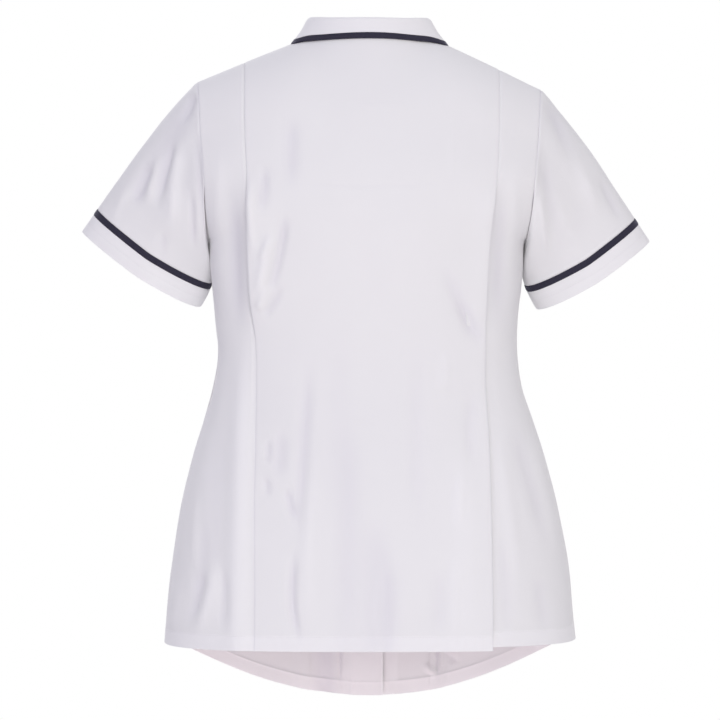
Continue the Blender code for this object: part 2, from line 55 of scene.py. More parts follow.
def bell(x, width):
    return np.exp(-(x / width) ** 2)


def between(first, last, share):
    return first + (last - first) * share


def softened(values, axis=0):
    # all but the first and the last along an axis, eased into their neighbours
    values = np.moveaxis(values, axis, 0)
    return np.moveaxis((values[:-2] + 2 * values[1:-1] + values[2:]) / 4, 0, axis)


def turns(count):
    return np.linspace(0, 2 * math.pi, count + 1)[:-1]


def cubic(t, start, leave, end, arrive):
    # from start to end, with the slopes at which it leaves and arrives
    return (
        (2 * t**3 - 3 * t**2 + 1) * start
        + (t**3 - 2 * t**2 + t) * leave
        + (3 * t**2 - 2 * t**3) * end
        + (t**3 - t**2) * arrive
    )


def spline(at, keys, values):
    # a cubic through every key, with the slopes of the neighbouring keys
    at = np.asarray(at, dtype=float)
    slopes = np.gradient(values, keys)
    i = np.clip(np.searchsorted(keys, at, side="right") - 1, 0, len(keys) - 2)
    h = keys[i + 1] - keys[i]
    return cubic((at - keys[i]) / h, values[i], h * slopes[i], values[i + 1], h * slopes[i + 1])


def arcLengths(points):
    steps = np.linalg.norm(np.diff(points, axis=0), axis=1)
    return np.concatenate(([0.0], np.cumsum(steps)))


def alongRows(grid):
    # distance along each row of a grid of points
    steps = np.linalg.norm(np.diff(grid, axis=1), axis=2)
    return np.concatenate((np.zeros((len(grid), 1)), np.cumsum(steps, axis=1)), axis=1)


def alongColumns(grid):
    return alongRows(grid.transpose(1, 0, 2)).T


def interpolated(at, keys, points):
    return np.column_stack([np.interp(at, keys, points[:, k]) for k in range(3)])


def pointsAlong(line, distances):
    return interpolated(distances, arcLengths(line), line)


def unit(vectors):
    return vectors / np.linalg.norm(vectors, axis=-1, keepdims=True)


def wrapped(grid):
    # a closed grid with its first column again at the end
    return np.concatenate((grid, grid[:, :1]), axis=1)


def gridNormals(grid, flip=False, closed=False):
    if closed:
        grid = np.concatenate((grid[:, -1:], wrapped(grid)), axis=1)
    normals = unit(np.cross(np.gradient(grid, axis=0), np.gradient(grid, axis=1)))
    if closed:
        normals = normals[:, 1:-1]
    return -normals if flip else normals


# the body's shape, the same as the frame's solids
# A place across the back or the front runs from 0 at the wearer's right to 5 at the left:
# 0 side seam, 1 princess seam, 2 and 3 beside the neck, 4 princess seam, 5 side seam.
# Level 0 is the neckline and shoulder seams, 5 the underarm, 8 the waist, 14 the hem.

body = {
    "seamGap": 0.0003,
    "neckHalfWidth": 0.076,
    "backNeckY": 0.060,
    "frontNeckY": -0.082,
    "frontNeckZ": -0.075,
    "sideNeckZ": -0.004,
    "neckRoundness": 1.8,
    "belowNeckX": 0.078,
    "shoulderHalfWidth": 0.206,
    "shoulderZ": -0.057,
    "rightShoulderDrop": 0.009,
    "shoulderArch": math.radians(75),
    "backSeamAtShoulder": 0.152,
    "frontSeamAtShoulder": 0.120,
    "backSeamShift": -0.0033,
    "dipPower": 2.15,
    "lastLevel": 14.0,
    "underarm": 5.0,
}
levelColumns = (
    "level", "halfWidth", "sway", "endZ", "backEndY", "frontEndY",
    "backZ", "backY", "frontZ", "frontY", "square", "round", "backSeam", "frontSeam",
)
levelRows = (
    (1, 0.1990, 0.000, -0.1220, 0.060, -0.056, -0.1000, 0.098, -0.1280, -0.116, 2.6, 1.00, 0.149, 0.112),
    (2, 0.1940, 0.000, -0.1720, 0.075, -0.070, -0.1650, 0.115, -0.1780, -0.138, 2.6, 1.05, 0.146, 0.104),
    (3, 0.1915, 0.001, -0.2150, 0.060, -0.057, -0.2100, 0.121, -0.2200, -0.150, 2.5, 1.20, 0.141, 0.099),
    (4, 0.1895, 0.002, -0.2420, 0.031, -0.031, -0.2400, 0.121, -0.2480, -0.155, 2.4, 1.60, 0.139, 0.097),
    (5, 0.1885, 0.003, -0.2540, 0.000, 0.000, -0.2620, 0.119, -0.2680, -0.156, 2.4, 2.20, 0.138, 0.096),
    (6, 0.1855, 0.003, -0.3000, 0.000, 0.000, -0.3020, 0.112, -0.3040, -0.152, 2.4, 2.30, 0.136, 0.092),
    (7, 0.1815, 0.003, -0.3420, 0.000, 0.000, -0.3420, 0.105, -0.3440, -0.144, 2.4, 2.30, 0.135, 0.087),
    (8, 0.1795, 0.002, -0.3820, 0.000, 0.000, -0.3820, 0.101, -0.3850, -0.138, 2.4, 2.30, 0.134, 0.085),
    (9, 0.1850, 0.002, -0.4220, 0.000, 0.000, -0.4220, 0.103, -0.4280, -0.138, 2.4, 2.30, 0.134, 0.085),
    (10, 0.1970, 0.001, -0.4620, 0.000, 0.000, -0.4620, 0.109, -0.4740, -0.141, 2.4, 2.30, 0.135, 0.085),
    (11, 0.2115, 0.000, -0.5070, 0.000, 0.000, -0.5060, 0.118, -0.5300, -0.145, 2.4, 2.30, 0.136, 0.085),
    (12, 0.2255, 0.000, -0.5650, 0.000, 0.000, -0.5620, 0.128, -0.6040, -0.148, 2.4, 2.30, 0.137, 0.086),
    (13, 0.2385, -0.001, -0.6420, 0.000, 0.000, -0.6380, 0.138, -0.7020, -0.150, 2.4, 2.30, 0.137, 0.086),
    (14, 0.2465, -0.001, -0.7270, 0.000, 0.000, -0.7235, 0.145, -0.8120, -0.152, 2.4, 2.30, 0.137, 0.086),
)
levelKeys = column(levelRows, levelColumns, "level")
levelValues = {name: column(levelRows, levelColumns, name) for name in levelColumns}


def atLevel(level, name):
    return float(spline(level, levelKeys, levelValues[name]))


def topCurve(half):
    # the shoulder seams and the neckline between them
    turn = np.linspace(-math.pi / 2, math.pi / 2, 121)
    depth = np.cos(turn)
    neckX = body["neckHalfWidth"] * np.sin(turn)
    if half == "back":
        neck = np.column_stack([neckX, body["backNeckY"] * depth, body["sideNeckZ"] * (1 - depth)])
        shift = body["seamGap"] / 2
    else:
        rise = 1 - np.abs(np.sin(turn)) ** body["neckRoundness"]
        neckZ = between(body["sideNeckZ"], body["frontNeckZ"], rise)
        neck = np.column_stack([neckX, body["frontNeckY"] * depth, neckZ])
        shift = -body["seamGap"] / 2
    t = np.linspace(0, 1, 31)[1:]
    outX = between(body["neckHalfWidth"], body["shoulderHalfWidth"], t)
    outZ = between(body["sideNeckZ"], body["shoulderZ"], t)
    left = np.column_stack([outX, np.full_like(t, shift), outZ])
    return np.vstack([left[::-1] * [-1, 1, 1], neck, left])


def levelCurve(half, level):
    turn = np.linspace(-math.pi / 2, math.pi / 2, 241)
    x = np.sin(turn)
    reach = np.abs(x)
    bulge = (1 - reach ** atLevel(level, "square")) ** (1 / atLevel(level, "round"))
    endY = atLevel(level, half + "EndY") if level < body["underarm"] else 0.0
    y = between(endY, atLevel(level, half + "Y"), bulge)
    z = between(atLevel(level, half + "Z"), atLevel(level, "endZ"), reach ** body["dipPower"])
    return np.column_stack([atLevel(level, "halfWidth") * x, y, z])


def seamPlaces(half, level):
    down = min(level, 1)
    seam = between(body[half + "SeamAtShoulder"], atLevel(max(level, 1), half + "Seam"), down)
    shift = body["backSeamShift"] if half == "back" else 0.0
    besideNeck = between(body["neckHalfWidth"], body["belowNeckX"], down)
    return [-seam + shift, -besideNeck, besideNeck, seam + shift]


def placeCurve(curve, seams, u):
    lengths = arcLengths(curve)
    stops = np.interp(seams, curve[:, 0], lengths)
    stops = np.concatenate(([0.0], stops, [lengths[-1]]))
    return interpolated(np.interp(u, range(6), stops), lengths, curve)


def across(half, level, u):
    # points of the back or the front at one level, at the places u
    u = np.asarray(u, dtype=float)
    if level >= 1:
        points = placeCurve(levelCurve(half, level), seamPlaces(half, level), u)
    else:
        top = placeCurve(topCurve(half), seamPlaces(half, 0), u)
        low = placeCurve(levelCurve(half, 1), seamPlaces(half, 1), u)
        over = np.clip(np.abs(u - 2.5) * 2, 0, 1)[:, None] ** 2
        turn = level * body["shoulderArch"]
        arch = np.column_stack([
            np.full_like(u, level),
            np.full_like(u, math.sin(turn) / math.sin(body["shoulderArch"])),
            np.full_like(u, (1 - math.cos(turn)) / (1 - math.cos(body["shoulderArch"]))),
        ])
        points = between(top, low, level * (1 - over) + arch * over)
    halfWidth = atLevel(max(level, 1), "halfWidth")
    fade = 1 - smooth((level - 1) / (body["underarm"] - 1))
    reach = np.clip(-points[:, 0] / halfWidth, 0, 1)
    points[:, 2] -= body["rightShoulderDrop"] * fade * reach**2
    points[:, 0] += atLevel(max(level, 1), "sway")
    return points


def span(half, level, first):
    return arcLengths(across(half, level, np.linspace(first, first + 1, 25)))[-1]


def placesPast(half, level, distances):
    # places at these distances from the right seam towards the middle
    u = np.linspace(1, 2.5, 61)
    return np.interp(distances, arcLengths(across(half, level, u)), u)


def placeOfX(half, level, x):
    u = np.linspace(0, 5, 401)
    return np.interp(x, across(half, level, u)[:, 0], u)


def surfaceFrame(half, level, place, sign):
    # a point of the body on one side and the outward normal there; place runs from 0 at the
    # centre line over 1 beside the neck to 2 at the princess seam
    place = 0.5 * place if place <= 1 else place - 0.5
    u = np.array([2.5 + sign * place])
    level = max(level, 0.0)
    step = 0.004
    point = across(half, level, u)[0]
    along = across(half, level, np.minimum(u + step, 5)) - across(half, level, np.maximum(u - step, 0))
    down = across(half, level + step, u) - across(half, max(level - step, 0), u)
    normal = np.cross(down, along)[0] if half == "front" else np.cross(along, down)[0]
    return point, unit(normal)


# folds
# Each row is one crease, given in millimetres: x and z of the three points that it
# runs through (x to the wearer's left, z up), its half width and its height. Troughs are
# negative. It fades out towards both ends.

centreBackFolds = (
    (91, -102, 92, -146, 93, -199, 9.3, -2.4),
    (113, -230, 118, -276, 129, -320, 5.8, 3.2),
    (98, -218, 104, -265, 120, -330, 5.2, -3.5),
    (123, -161, 122, -193, 124, -224, 5.8, -2.7),
    (138, -172, 134, -218, 130, -276, 4.1, 2.2),
    (124, -276, 118, -262, 104, -246, 4.6, 1.6),
    (113, -297, 121, -318, 130, -334, 4.1, 2.4),
    (99, -300, 112, -325, 124, -341, 4.1, -2.6),
    (69, -385, 77, -494, 83, -624, 7.0, -2.7),
    (83, -599, 89, -665, 77, -717, 4.6, -3.6),
    (65, -494, 72, -605, 70, -706, 9.3, 1.5),
    (102, -465, 104, -500, 105, -529, 8.1, -2.0),
    (115, -478, 118, -497, 116, -511, 4.1, -2.2),
    (94, -534, 92, -555, 84, -578, 4.6, -3.1),
    (118, -522, 119, -536, 115, -548, 4.1, -2.0),
    (-2, -560, -5, -657, 3, -790, 16.2, -2.2),
    (-19, -600, -20, -680, -18, -790, 7.0, -1.4),
    (28, -440, 27, -580, 30, -790, 14.0, -2.0),
    (-108, -480, -112, -600, -108, -780, 16.0, 2.2),
    (-26, -622, -24, -668, -19, -726, 10.4, -1.1),
    (-56, -355, -53, -483, -55, -605, 9.3, -1.1),
    (32, -320, 39, -460, 42, -576, 13.9, -0.8),
    (-82, -276, -108, -330, -126, -381, 8.1, -2.0),
    (-101, -318, -119, -346, -134, -376, 5.8, -1.9),
    (-89, -373, -87, -404, -84, -431, 7.0, 1.2),
    (-108, -513, -103, -552, -104, -590, 5.8, 1.5),
    (-99, -605, -97, -659, -96, -717, 7.0, 1.5),
    (-77, -622, -80, -668, -77, -715, 9.3, -1.2),
    (-123, -413, -117, -471, -121, -529, 7.0, -1.2),
    # the marks of how it was folded in its packet
    (92, -187, -3, -189, -99, -186, 1.9, -0.5),
    (95, -103, 97, -146, 97, -188, 1.9, 0.5),
    (-94, -102, -95, -146, -94, -188, 1.9, 0.5),
    (83, -98, -3, -95, -91, -99, 1.9, 0.4),
)
sideBackFolds = (
    (154, -184, 157, -272, 151, -369, 10.6, -3.1),
    (173, -131, 177, -231, 173, -325, 9.4, 1.7),
    (146, -330, 151, -560, 153, -850, 12.0, 4.4),
    (172, -440, 178, -561, 180, -690, 12.0, -1.0),
    (180, -616, 187, -666, 206, -716, 7.1, 3.1),
    (171, -619, 167, -670, 173, -710, 4.7, -2.3),
    (202, -631, 200, -663, 215, -705, 7.1, -2.6),
    (202, -539, 204, -584, 206, -633, 4.1, 1.1),
    (192, -572, 194, -625, 191, -672, 5.9, -1.3),
    (222, -643, 227, -678, 232, -719, 5.9, 1.4),
    (182, -355, 190, -414, 195, -484, 9.4, -1.2),
    (-150, -178, -154, -267, -148, -366, 10.6, -2.6),
    (-170, -143, -168, -231, -164, -319, 9.4, 1.2),
    (-148, -472, -161, -561, -177, -672, 8.2, 1.7),
    (-166, -461, -189, -531, -215, -625, 9.4, -1.6),
    (-189, -472, -207, -543, -224, -637, 7.1, 1.1),
    (-154, -578, -157, -649, -162, -719, 7.1, -1.2),
    (-196, -637, -201, -672, -208, -715, 7.1, -1.4),
)
# The front isn't seen: like folds, drawn from the bust, the waist and the hem.
frontFolds = (
    (55, -690, 55, -760, 56, -880, 13.0, 3.8),
    (36, -690, 35, -750, 36, -812, 1.7, 2.6),
    (-86, -690, -87, -742, -85, -812, 2.1, 3.0),
    (178, -250, 150, -235, 118, -215, 7.0, -1.9),
    (180, -272, 152, -262, 124, -250, 6.0, 1.6),
    (176, -292, 150, -285, 116, -280, 7.0, -1.6),
    (96, -250, 90, -330, 88, -400, 9.0, -1.3),
    (128, -300, 124, -370, 130, -440, 8.0, -1.7),
    (146, -420, 156, -520, 168, -640, 9.0, 1.9),
    (128, -470, 134, -580, 142, -720, 8.0, -1.9),
    (62, -430, 58, -560, 64, -740, 10.0, -1.4),
    (104, -560, 108, -660, 112, -760, 8.0, 1.8),
    (190, -560, 200, -630, 210, -700, 7.0, -1.7),
    (60, -140, 66, -190, 64, -240, 8.0, -1.0),
    (-176, -254, -148, -246, -112, -232, 7.0, -1.8),
    (-178, -278, -152, -276, -120, -270, 6.0, 1.4),
    (-174, -300, -146, -300, -118, -306, 6.0, -1.2),
    (-98, -260, -94, -340, -90, -410, 9.0, -1.4),
    (-130, -310, -126, -380, -132, -450, 8.0, -1.6),
    (-150, -430, -160, -540, -176, -660, 9.0, 1.8),
    (-126, -480, -132, -590, -146, -730, 8.0, -1.8),
    (-60, -450, -56, -580, -66, -750, 10.0, -1.3),
    (-100, -590, -108, -680, -106, -770, 7.0, 1.7),
    (-194, -580, -204, -640, -212, -705, 6.0, -1.6),
    (-62, -150, -58, -200, -66, -260, 8.0, -1.0),
    (-100, -752, -104, -764, -112, -770, 3.0, 1.5),
    (-112, -748, -108, -756, -114, -768, 2.6, -1.4),
    (-70, -772, -78, -780, -90, -786, 3.6, -1.2),
)
sleeveBackFolds = (
    (212, -72, 240, -138, 276, -214, 15.0, -2.6),
    (222, -120, 236, -180, 240, -250, 14.0, 2.0),
    (207, -73, 213, -87, 224, -113, 6.0, -3.1),
    (261, -149, 272, -180, 283, -209, 7.2, -3.2),
    (230, -125, 242, -169, 253, -217, 6.0, -3.6),
    (248, -137, 258, -175, 265, -209, 4.8, 2.2),
    (223, -125, 229, -183, 234, -249, 7.2, 2.5),
    (243, -233, 246, -256, 247, -280, 4.8, -1.8),
    (210, -183, 209, -226, 210, -261, 4.2, -2.0),
    (202, -104, 198, -199, 193, -285, 4.8, -1.8),
    (287, -175, 299, -205, 311, -233, 6.0, 1.8),
    (-211, -78, -230, -118, -263, -183, 9.5, -2.7),
    (-228, -104, -251, -161, -280, -230, 8.3, 2.0),
    (-205, -140, -214, -199, -230, -266, 8.3, -1.6),
    (-199, -187, -204, -229, -213, -273, 4.8, 1.8),
    (-273, -164, -290, -199, -306, -230, 6.0, -1.8),
)
sleeveFrontFolds = (
    (210, -84, 222, -120, 240, -168, 7.0, -2.6),
    (226, -112, 244, -160, 262, -214, 7.0, 2.1),
    (205, -150, 214, -200, 224, -262, 7.0, -2.2),
    (250, -140, 268, -184, 286, -226, 6.0, -1.9),
    (-208, -88, -224, -128, -246, -180, 8.0, -2.4),
    (-222, -110, -240, -166, -258, -224, 7.0, 1.9),
    (-203, -160, -210, -210, -222, -268, 7.0, -1.9),
    (-256, -146, -276, -190, -294, -228, 6.0, -1.8),
)


foldLook = {
    "deepen": 1.3,              # all creases, against their tables
    "fullHollow": 0.0040,       # as deep as this, a hollow has its whole shade
    "leastPoints": 33,          # points along a crease, and one more at each of these parts
    "pointGap": 0.2,            # of its half width
    "fade": 0.35,               # the share of its length over which either end fades out
    "reach": 3,                 # half widths beside it in which it has a height
    "restless": 0.0004,
}


def foldHeights(points, rows):
    # how far each point moves out along its normal
    height = np.zeros(points.shape[:-1])
    flat = points[..., [0, 2]]
    for row in rows:
        start, middle, end = (np.array(row[k:k + 2]) / 1000 for k in (0, 2, 4))
        width, depth = row[6] / 1000, row[7] / 1000
        pull = 2 * middle - (start + end) / 2
        more = int(np.linalg.norm(end - start) / (foldLook["pointGap"] * width))
        t = np.linspace(0, 1, foldLook["leastPoints"] + more)[:, None]
        path = (1 - t) ** 2 * start + 2 * t * (1 - t) * pull + t**2 * end
        reach = foldLook["reach"] * width
        low, high = path.min(axis=0) - reach, path.max(axis=0) + reach
        near = np.all((flat > low) & (flat < high), axis=-1)
        at = flat[near]
        if not len(at):
            continue
        away = np.linalg.norm(at[:, None] - path[None], axis=2)
        closest = away.argmin(axis=1)
        share = closest / (len(path) - 1)
        fade = smooth(share / foldLook["fade"]) * smooth((1 - share) / foldLook["fade"])
        height[near] += depth * bell(away.min(axis=1), width) * fade
    return height * foldLook["deepen"]


def restlessness(points, size=foldLook["restless"]):
    # the slow unevenness of cloth that has been worn and washed
    x, y, z = np.moveaxis(points, -1, 0)
    waves = np.sin(47 * x + 13 * z + 0.4) * np.sin(19 * z - 9 * y + 1.1)
    waves += 0.7 * np.sin(83 * x - 21 * z + 2.0) * np.sin(31 * z + 1.7)
    waves += 0.5 * np.sin(29 * x + 67 * z + 57 * y + 0.7)
    return size * waves


# meshes

clothTurn = 50                  # degrees: cloth is shaded smooth up to here
threadTurn = 40


def shell(name, outer, inner, finish, closed=False, cells=None, layers=None, height=None):
    # cloth between two grids of points, with a map of the flat cloth in metres;
    # cells picks the grid's cells that are cloth, layers marks where it lies double,
    # height is how far it stands out, which sets painted shade in its hollows and painted
    # highlight on its crests, outside and inside
    rows, count = outer.shape[:2]
    wide = count if closed else count - 1
    if cells is None:
        cells = np.ones((rows - 1, wide), dtype=bool)
    i, j = np.nonzero(cells)
    corner = [(i, j), (i + 1, j), (i + 1, j + 1), (i, j + 1)]
    index = [a * count + b % count for a, b in corner]
    total = rows * count
    quads = [np.stack(index, axis=1), np.stack(index[::-1], axis=1) + total]
    loops = [np.stack([np.stack(c, axis=1) for c in corner], axis=1)]
    loops.append(loops[0][:, ::-1])
    padded = np.pad(cells, 1)
    if closed:
        padded[1:-1, 0], padded[1:-1, -1] = cells[:, -1], cells[:, 0]
    for k, (di, dj) in enumerate(((0, -1), (1, 0), (0, 1), (-1, 0))):
        edge = ~padded[i + 1 + di, j + 1 + dj]
        a, b = index[k][edge], index[(k + 1) % 4][edge]
        quads.append(np.stack([b, a, a + total, b + total], axis=1))
        ca, cb = np.stack(corner[k], axis=1)[edge], np.stack(corner[(k + 1) % 4], axis=1)[edge]
        loops.append(np.stack([cb, ca, ca, cb], axis=1))
    quads = np.concatenate(quads)
    loops = np.concatenate(loops).reshape(-1, 2)
    points = np.concatenate([outer.reshape(-1, 3), inner.reshape(-1, 3)])
    a, b, c, d = (points[quads[:, k]] for k in range(4))
    if np.sum(a * np.cross(b, c)) + np.sum(a * np.cross(c, d)) < 0:
        quads = quads[:, ::-1]
        loops = loops.reshape(-1, 4, 2)[:, ::-1].reshape(-1, 2)
    used, quads = np.unique(quads, return_inverse=True)
    quads = quads.reshape(-1, 4)
    mesh = bpy.data.meshes.new(name)
    mesh.vertices.add(len(used))
    mesh.vertices.foreach_set("co", points[used].astype(np.float32).ravel())
    mesh.loops.add(quads.size)
    mesh.loops.foreach_set("vertex_index", quads.astype(np.int32).ravel())
    mesh.polygons.add(len(quads))
    mesh.polygons.foreach_set("loop_start", np.arange(0, quads.size, 4, dtype=np.int32))
    mesh.update(calc_edges=True)
    whole = wrapped(outer) if closed else outer
    u, v = alongRows(whole), alongColumns(whole)
    u = u - u[:, [u.shape[1] // 2]]
    flat = np.stack([u[loops[:, 0], loops[:, 1]], v[loops[:, 0], loops[:, 1]]], axis=1)
    mesh.uv_layers.new(name="cloth").uv.foreach_set("vector", flat.astype(np.float32).ravel())
    if layers is not None:
        addMark(mesh, "layers", np.concatenate([layers.ravel(), layers.ravel()])[used])
    if height is not None:
        # painted shade where the cloth is sunk, painted highlight where it stands out; on the inside the
        # other way round
        paintedShadeAndHighlight = np.concatenate([-height.ravel(), height.ravel()])[used] / foldLook["fullHollow"]
        addMark(mesh, "hollow", np.clip(paintedShadeAndHighlight, -1, 1))
    return finished(name, mesh, finish, clothTurn)


def addMark(mesh, name, values):
    mark = mesh.attributes.new(name, "FLOAT", "POINT")
    mark.data.foreach_set("value", values.astype(np.float32))


def meshFrom(name, points, faces, finish, sharp=threadTurn):
    mesh = bpy.data.meshes.new(name)
    mesh.from_pydata([tuple(p) for p in points], [], [tuple(int(k) for k in f) for f in faces])
    mesh.validate()
    return finished(name, mesh, finish, sharp)


def finished(name, mesh, finish, sharp):
    # smooth, apart from edges that turn by more degrees than sharp
    mesh.shade_smooth()
    mesh.set_sharp_from_angle(angle=math.radians(sharp))
    mesh.materials.append(finish)
    return linked(name, mesh)


def linked(name, data):
    made = bpy.data.objects.new(name, data)
    bpy.context.scene.collection.objects.link(made)
    return made


def settle(piece, slotName, *nodes):
    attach(piece, "root")
    if nodes:
        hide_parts(*nodes)
    return piece


leastCut = 0.010                # a trim is cut wider than what shows of it


def flatSize(grid, closed=False):
    # width, length and area of the cloth before it was folded and creased
    whole = wrapped(grid) if closed else grid
    u, v = alongRows(whole), alongColumns(whole)
    side = whole[1:, :-1] - whole[:-1, :-1]
    over = whole[:-1, 1:] - whole[:-1, :-1]
    area = np.linalg.norm(np.cross(side, over), axis=2).sum()
    width, length = round(float(u[:, -1].max()), 3), round(float(v[-1].max()), 3)
    length = max(length, leastCut)
    return width, length, round(min(float(area), width * length), 5)


def declare(piece, grid, closed=False):
    width, length, area = flatSize(grid, closed)
    print("cut", piece.name, width, "x", length, "m,", area, "m2")


# materials

threadHeight = 0.0002


def node(tree, kind, **settings):
    made = tree.nodes.new(kind)
    for name, value in settings.items():
        setattr(made, name, value)
    return made


def put(tree, socket, value):
    # a number, a colour or another node's output
    if isinstance(value, tuple):
        socket.default_value = (*value, 1)
    elif isinstance(value, (int, float)):
        socket.default_value = value
    else:
        tree.links.new(value, socket)


def feed(tree, made, **values):
    for name, value in values.items():
        put(tree, made.inputs[name.replace("_", " ")], value)
    return made


def sums(tree, operation, *values):
    made = node(tree, "ShaderNodeMath", operation=operation)
    for socket, value in zip(made.inputs, values):
        put(tree, socket, value)
    return made.outputs[0]


def mixed(tree, first, second, share):
    made = node(tree, "ShaderNodeMix", data_type="RGBA")
    return feed(tree, made, A=first, B=second, Factor=share).outputs["Result"]


def noise(tree, place, scale, **values):
    made = feed(tree, node(tree, "ShaderNodeTexNoise"), Vector=place, Scale=scale, **values)
    return made.outputs["Fac"]


def spread(tree, value, kind, **limits):
    made = node(tree, "ShaderNodeMapRange", interpolation_type=kind)
    return feed(tree, made, Value=value, **limits).outputs["Result"]


def bumped(tree, shader, height, strength):
    bump = node(tree, "ShaderNodeBump")
    feed(tree, bump, Height=height, Strength=strength, Distance=threadHeight)
    feed(tree, shader, Normal=bump.outputs["Normal"])


def newMaterial(name, roughness, sheen=0.0, sheenRoughness=0.5, specular=0.5):
    made = bpy.data.materials.new(name)
    made.use_nodes = True
    tree = made.node_tree
    shader = tree.nodes["Principled BSDF"]
    feed(tree, shader, Roughness=roughness, Sheen_Weight=sheen, Sheen_Roughness=sheenRoughness,
         Specular_IOR_Level=specular)
    return made, tree, shader


def objectPlace(tree):
    return node(tree, "ShaderNodeTexCoord").outputs["Object"]


def weaveHeight(tree, thread):
    # a plain weave: warp and weft pass over each other; thread is one of them and its gap
    cloth = node(tree, "ShaderNodeUVMap", uv_map="cloth").outputs["UV"]
    split = feed(tree, node(tree, "ShaderNodeSeparateXYZ"), Vector=cloth).outputs
    warp, weft = (
        sums(tree, "SINE", sums(tree, "MULTIPLY", split[axis], math.pi / thread)) for axis in "XY")
    return cloth, sums(tree, "MULTIPLY", warp, weft)


def makeCloth():
    look = {
        "thread": 0.00045,
        "light": (0.805, 0.808, 0.810),
        "shaded": (0.780, 0.780, 0.785),
        "doubled": (0.825, 0.826, 0.832),
        "hollow": (0.68, 0.665, 0.72),       # painted shade deep in a crease, against the cloth around it
        # painted highlight on the crest of a fold
        "paintedCrestHighlight": (0.86, 0.862, 0.868),
        "hollowShare": 0.42,
        "cloudScale": 7.0,
        "slubScale": 900.0,
        "roughness": (0.74, 0.88),
        "weaveBump": 0.10,
        "pillBump": 0.12,
        "bump": 0.35,
    }
    made, tree, shader = newMaterial(
        "whiteCloth", 0.82, sheen=0.12, sheenRoughness=0.4, specular=0.25)
    cloth, weave = weaveHeight(tree, look["thread"])
    cloudy = noise(tree, objectPlace(tree), look["cloudScale"], Detail=3.0)
    slub = noise(tree, cloth, look["slubScale"], Detail=2.0)
    layers = node(tree, "ShaderNodeAttribute", attribute_name="layers").outputs["Fac"]
    # painted shade in the folds' hollows and along seams, and painted highlight on their crests, from the
    # heights kept on the mesh
    creases = node(tree, "ShaderNodeAttribute", attribute_name="hollow").outputs["Fac"]
    paintedShadeAndHighlight = sums(tree, "MULTIPLY", creases, look["hollowShare"])
    raised = sums(tree, "MULTIPLY", paintedShadeAndHighlight, -1.0)
    tint = mixed(tree, look["shaded"], look["light"], cloudy)
    tint = mixed(tree, tint, look["doubled"], layers)
    tint = mixed(tree, tint, look["hollow"], sums(tree, "MAXIMUM", paintedShadeAndHighlight, 0.0))
    # raised is the painted highlight on the crests
    tint = mixed(tree, tint, look["paintedCrestHighlight"], sums(tree, "MAXIMUM", raised, 0.0))
    low, high = look["roughness"]
    feed(tree, shader, Base_Color=tint, Roughness=spread(tree, slub, "LINEAR", To_Min=low, To_Max=high))
    threads = sums(tree, "MULTIPLY", weave, look["weaveBump"])
    bumped(tree, shader, sums(tree, "MULTIPLY_ADD", slub, look["pillBump"], threads), look["bump"])
    return made


def makeTrim():
    look = {
        "thread": 0.00050,
        "light": (0.034, 0.032, 0.056),
        "dark": (0.017, 0.015, 0.030),
        "sheenTint": (0.55, 0.55, 0.75),
        "slubScale": 350.0,
        "weaveShade": 0.18,
        "bump": 0.4,
    }
    made, tree, shader = newMaterial(
        "navyTrim", 0.75, sheen=0.25, sheenRoughness=0.35, specular=0.3)
    cloth, weave = weaveHeight(tree, look["thread"])
    slub = noise(tree, cloth, look["slubScale"], Detail=3.0)
    blend = sums(tree, "MULTIPLY_ADD", weave, look["weaveShade"], slub)
    tint = mixed(tree, look["dark"], look["light"], blend)
    feed(tree, shader, Sheen_Tint=look["sheenTint"], Base_Color=tint)
    bumped(tree, shader, weave, look["bump"])
    return made


def makeThread():
    look = {
        "light": (0.83, 0.82, 0.84),
        "dark": (0.7138, 0.7052, 0.7224),
        "fibreScale": 2500.0,
    }
    made, tree, shader = newMaterial("whiteThread", 0.55, sheen=0.2, specular=0.4)
    fibre = noise(tree, objectPlace(tree), look["fibreScale"])
    feed(tree, shader, Base_Color=mixed(tree, look["dark"], look["light"], fibre))
    return made


def makeButtonPlastic():
    look = {
        "light": (0.88, 0.87, 0.88),
        "dark": (0.76, 0.75, 0.77),
        "pearlScale": 160.0,
        "roughness": (0.24, 0.4),
        "coat": 0.25,
    }
    made, tree, shader = newMaterial("buttonPlastic", 0.3, specular=0.5)
    pearl = noise(tree, objectPlace(tree), look["pearlScale"], Detail=4.0, Distortion=1.4)
    low, high = look["roughness"]
    tint = mixed(tree, look["dark"], look["light"], pearl)
    rough = spread(tree, pearl, "LINEAR", To_Min=low, To_Max=high)
    feed(tree, shader, Coat_Weight=look["coat"], Base_Color=tint, Roughness=rough)
    return made


whiteCloth = makeCloth()
navyTrim = makeTrim()
whiteThread = makeThread()
buttonPlastic = makeButtonPlastic()
print("materials made")


# body panels

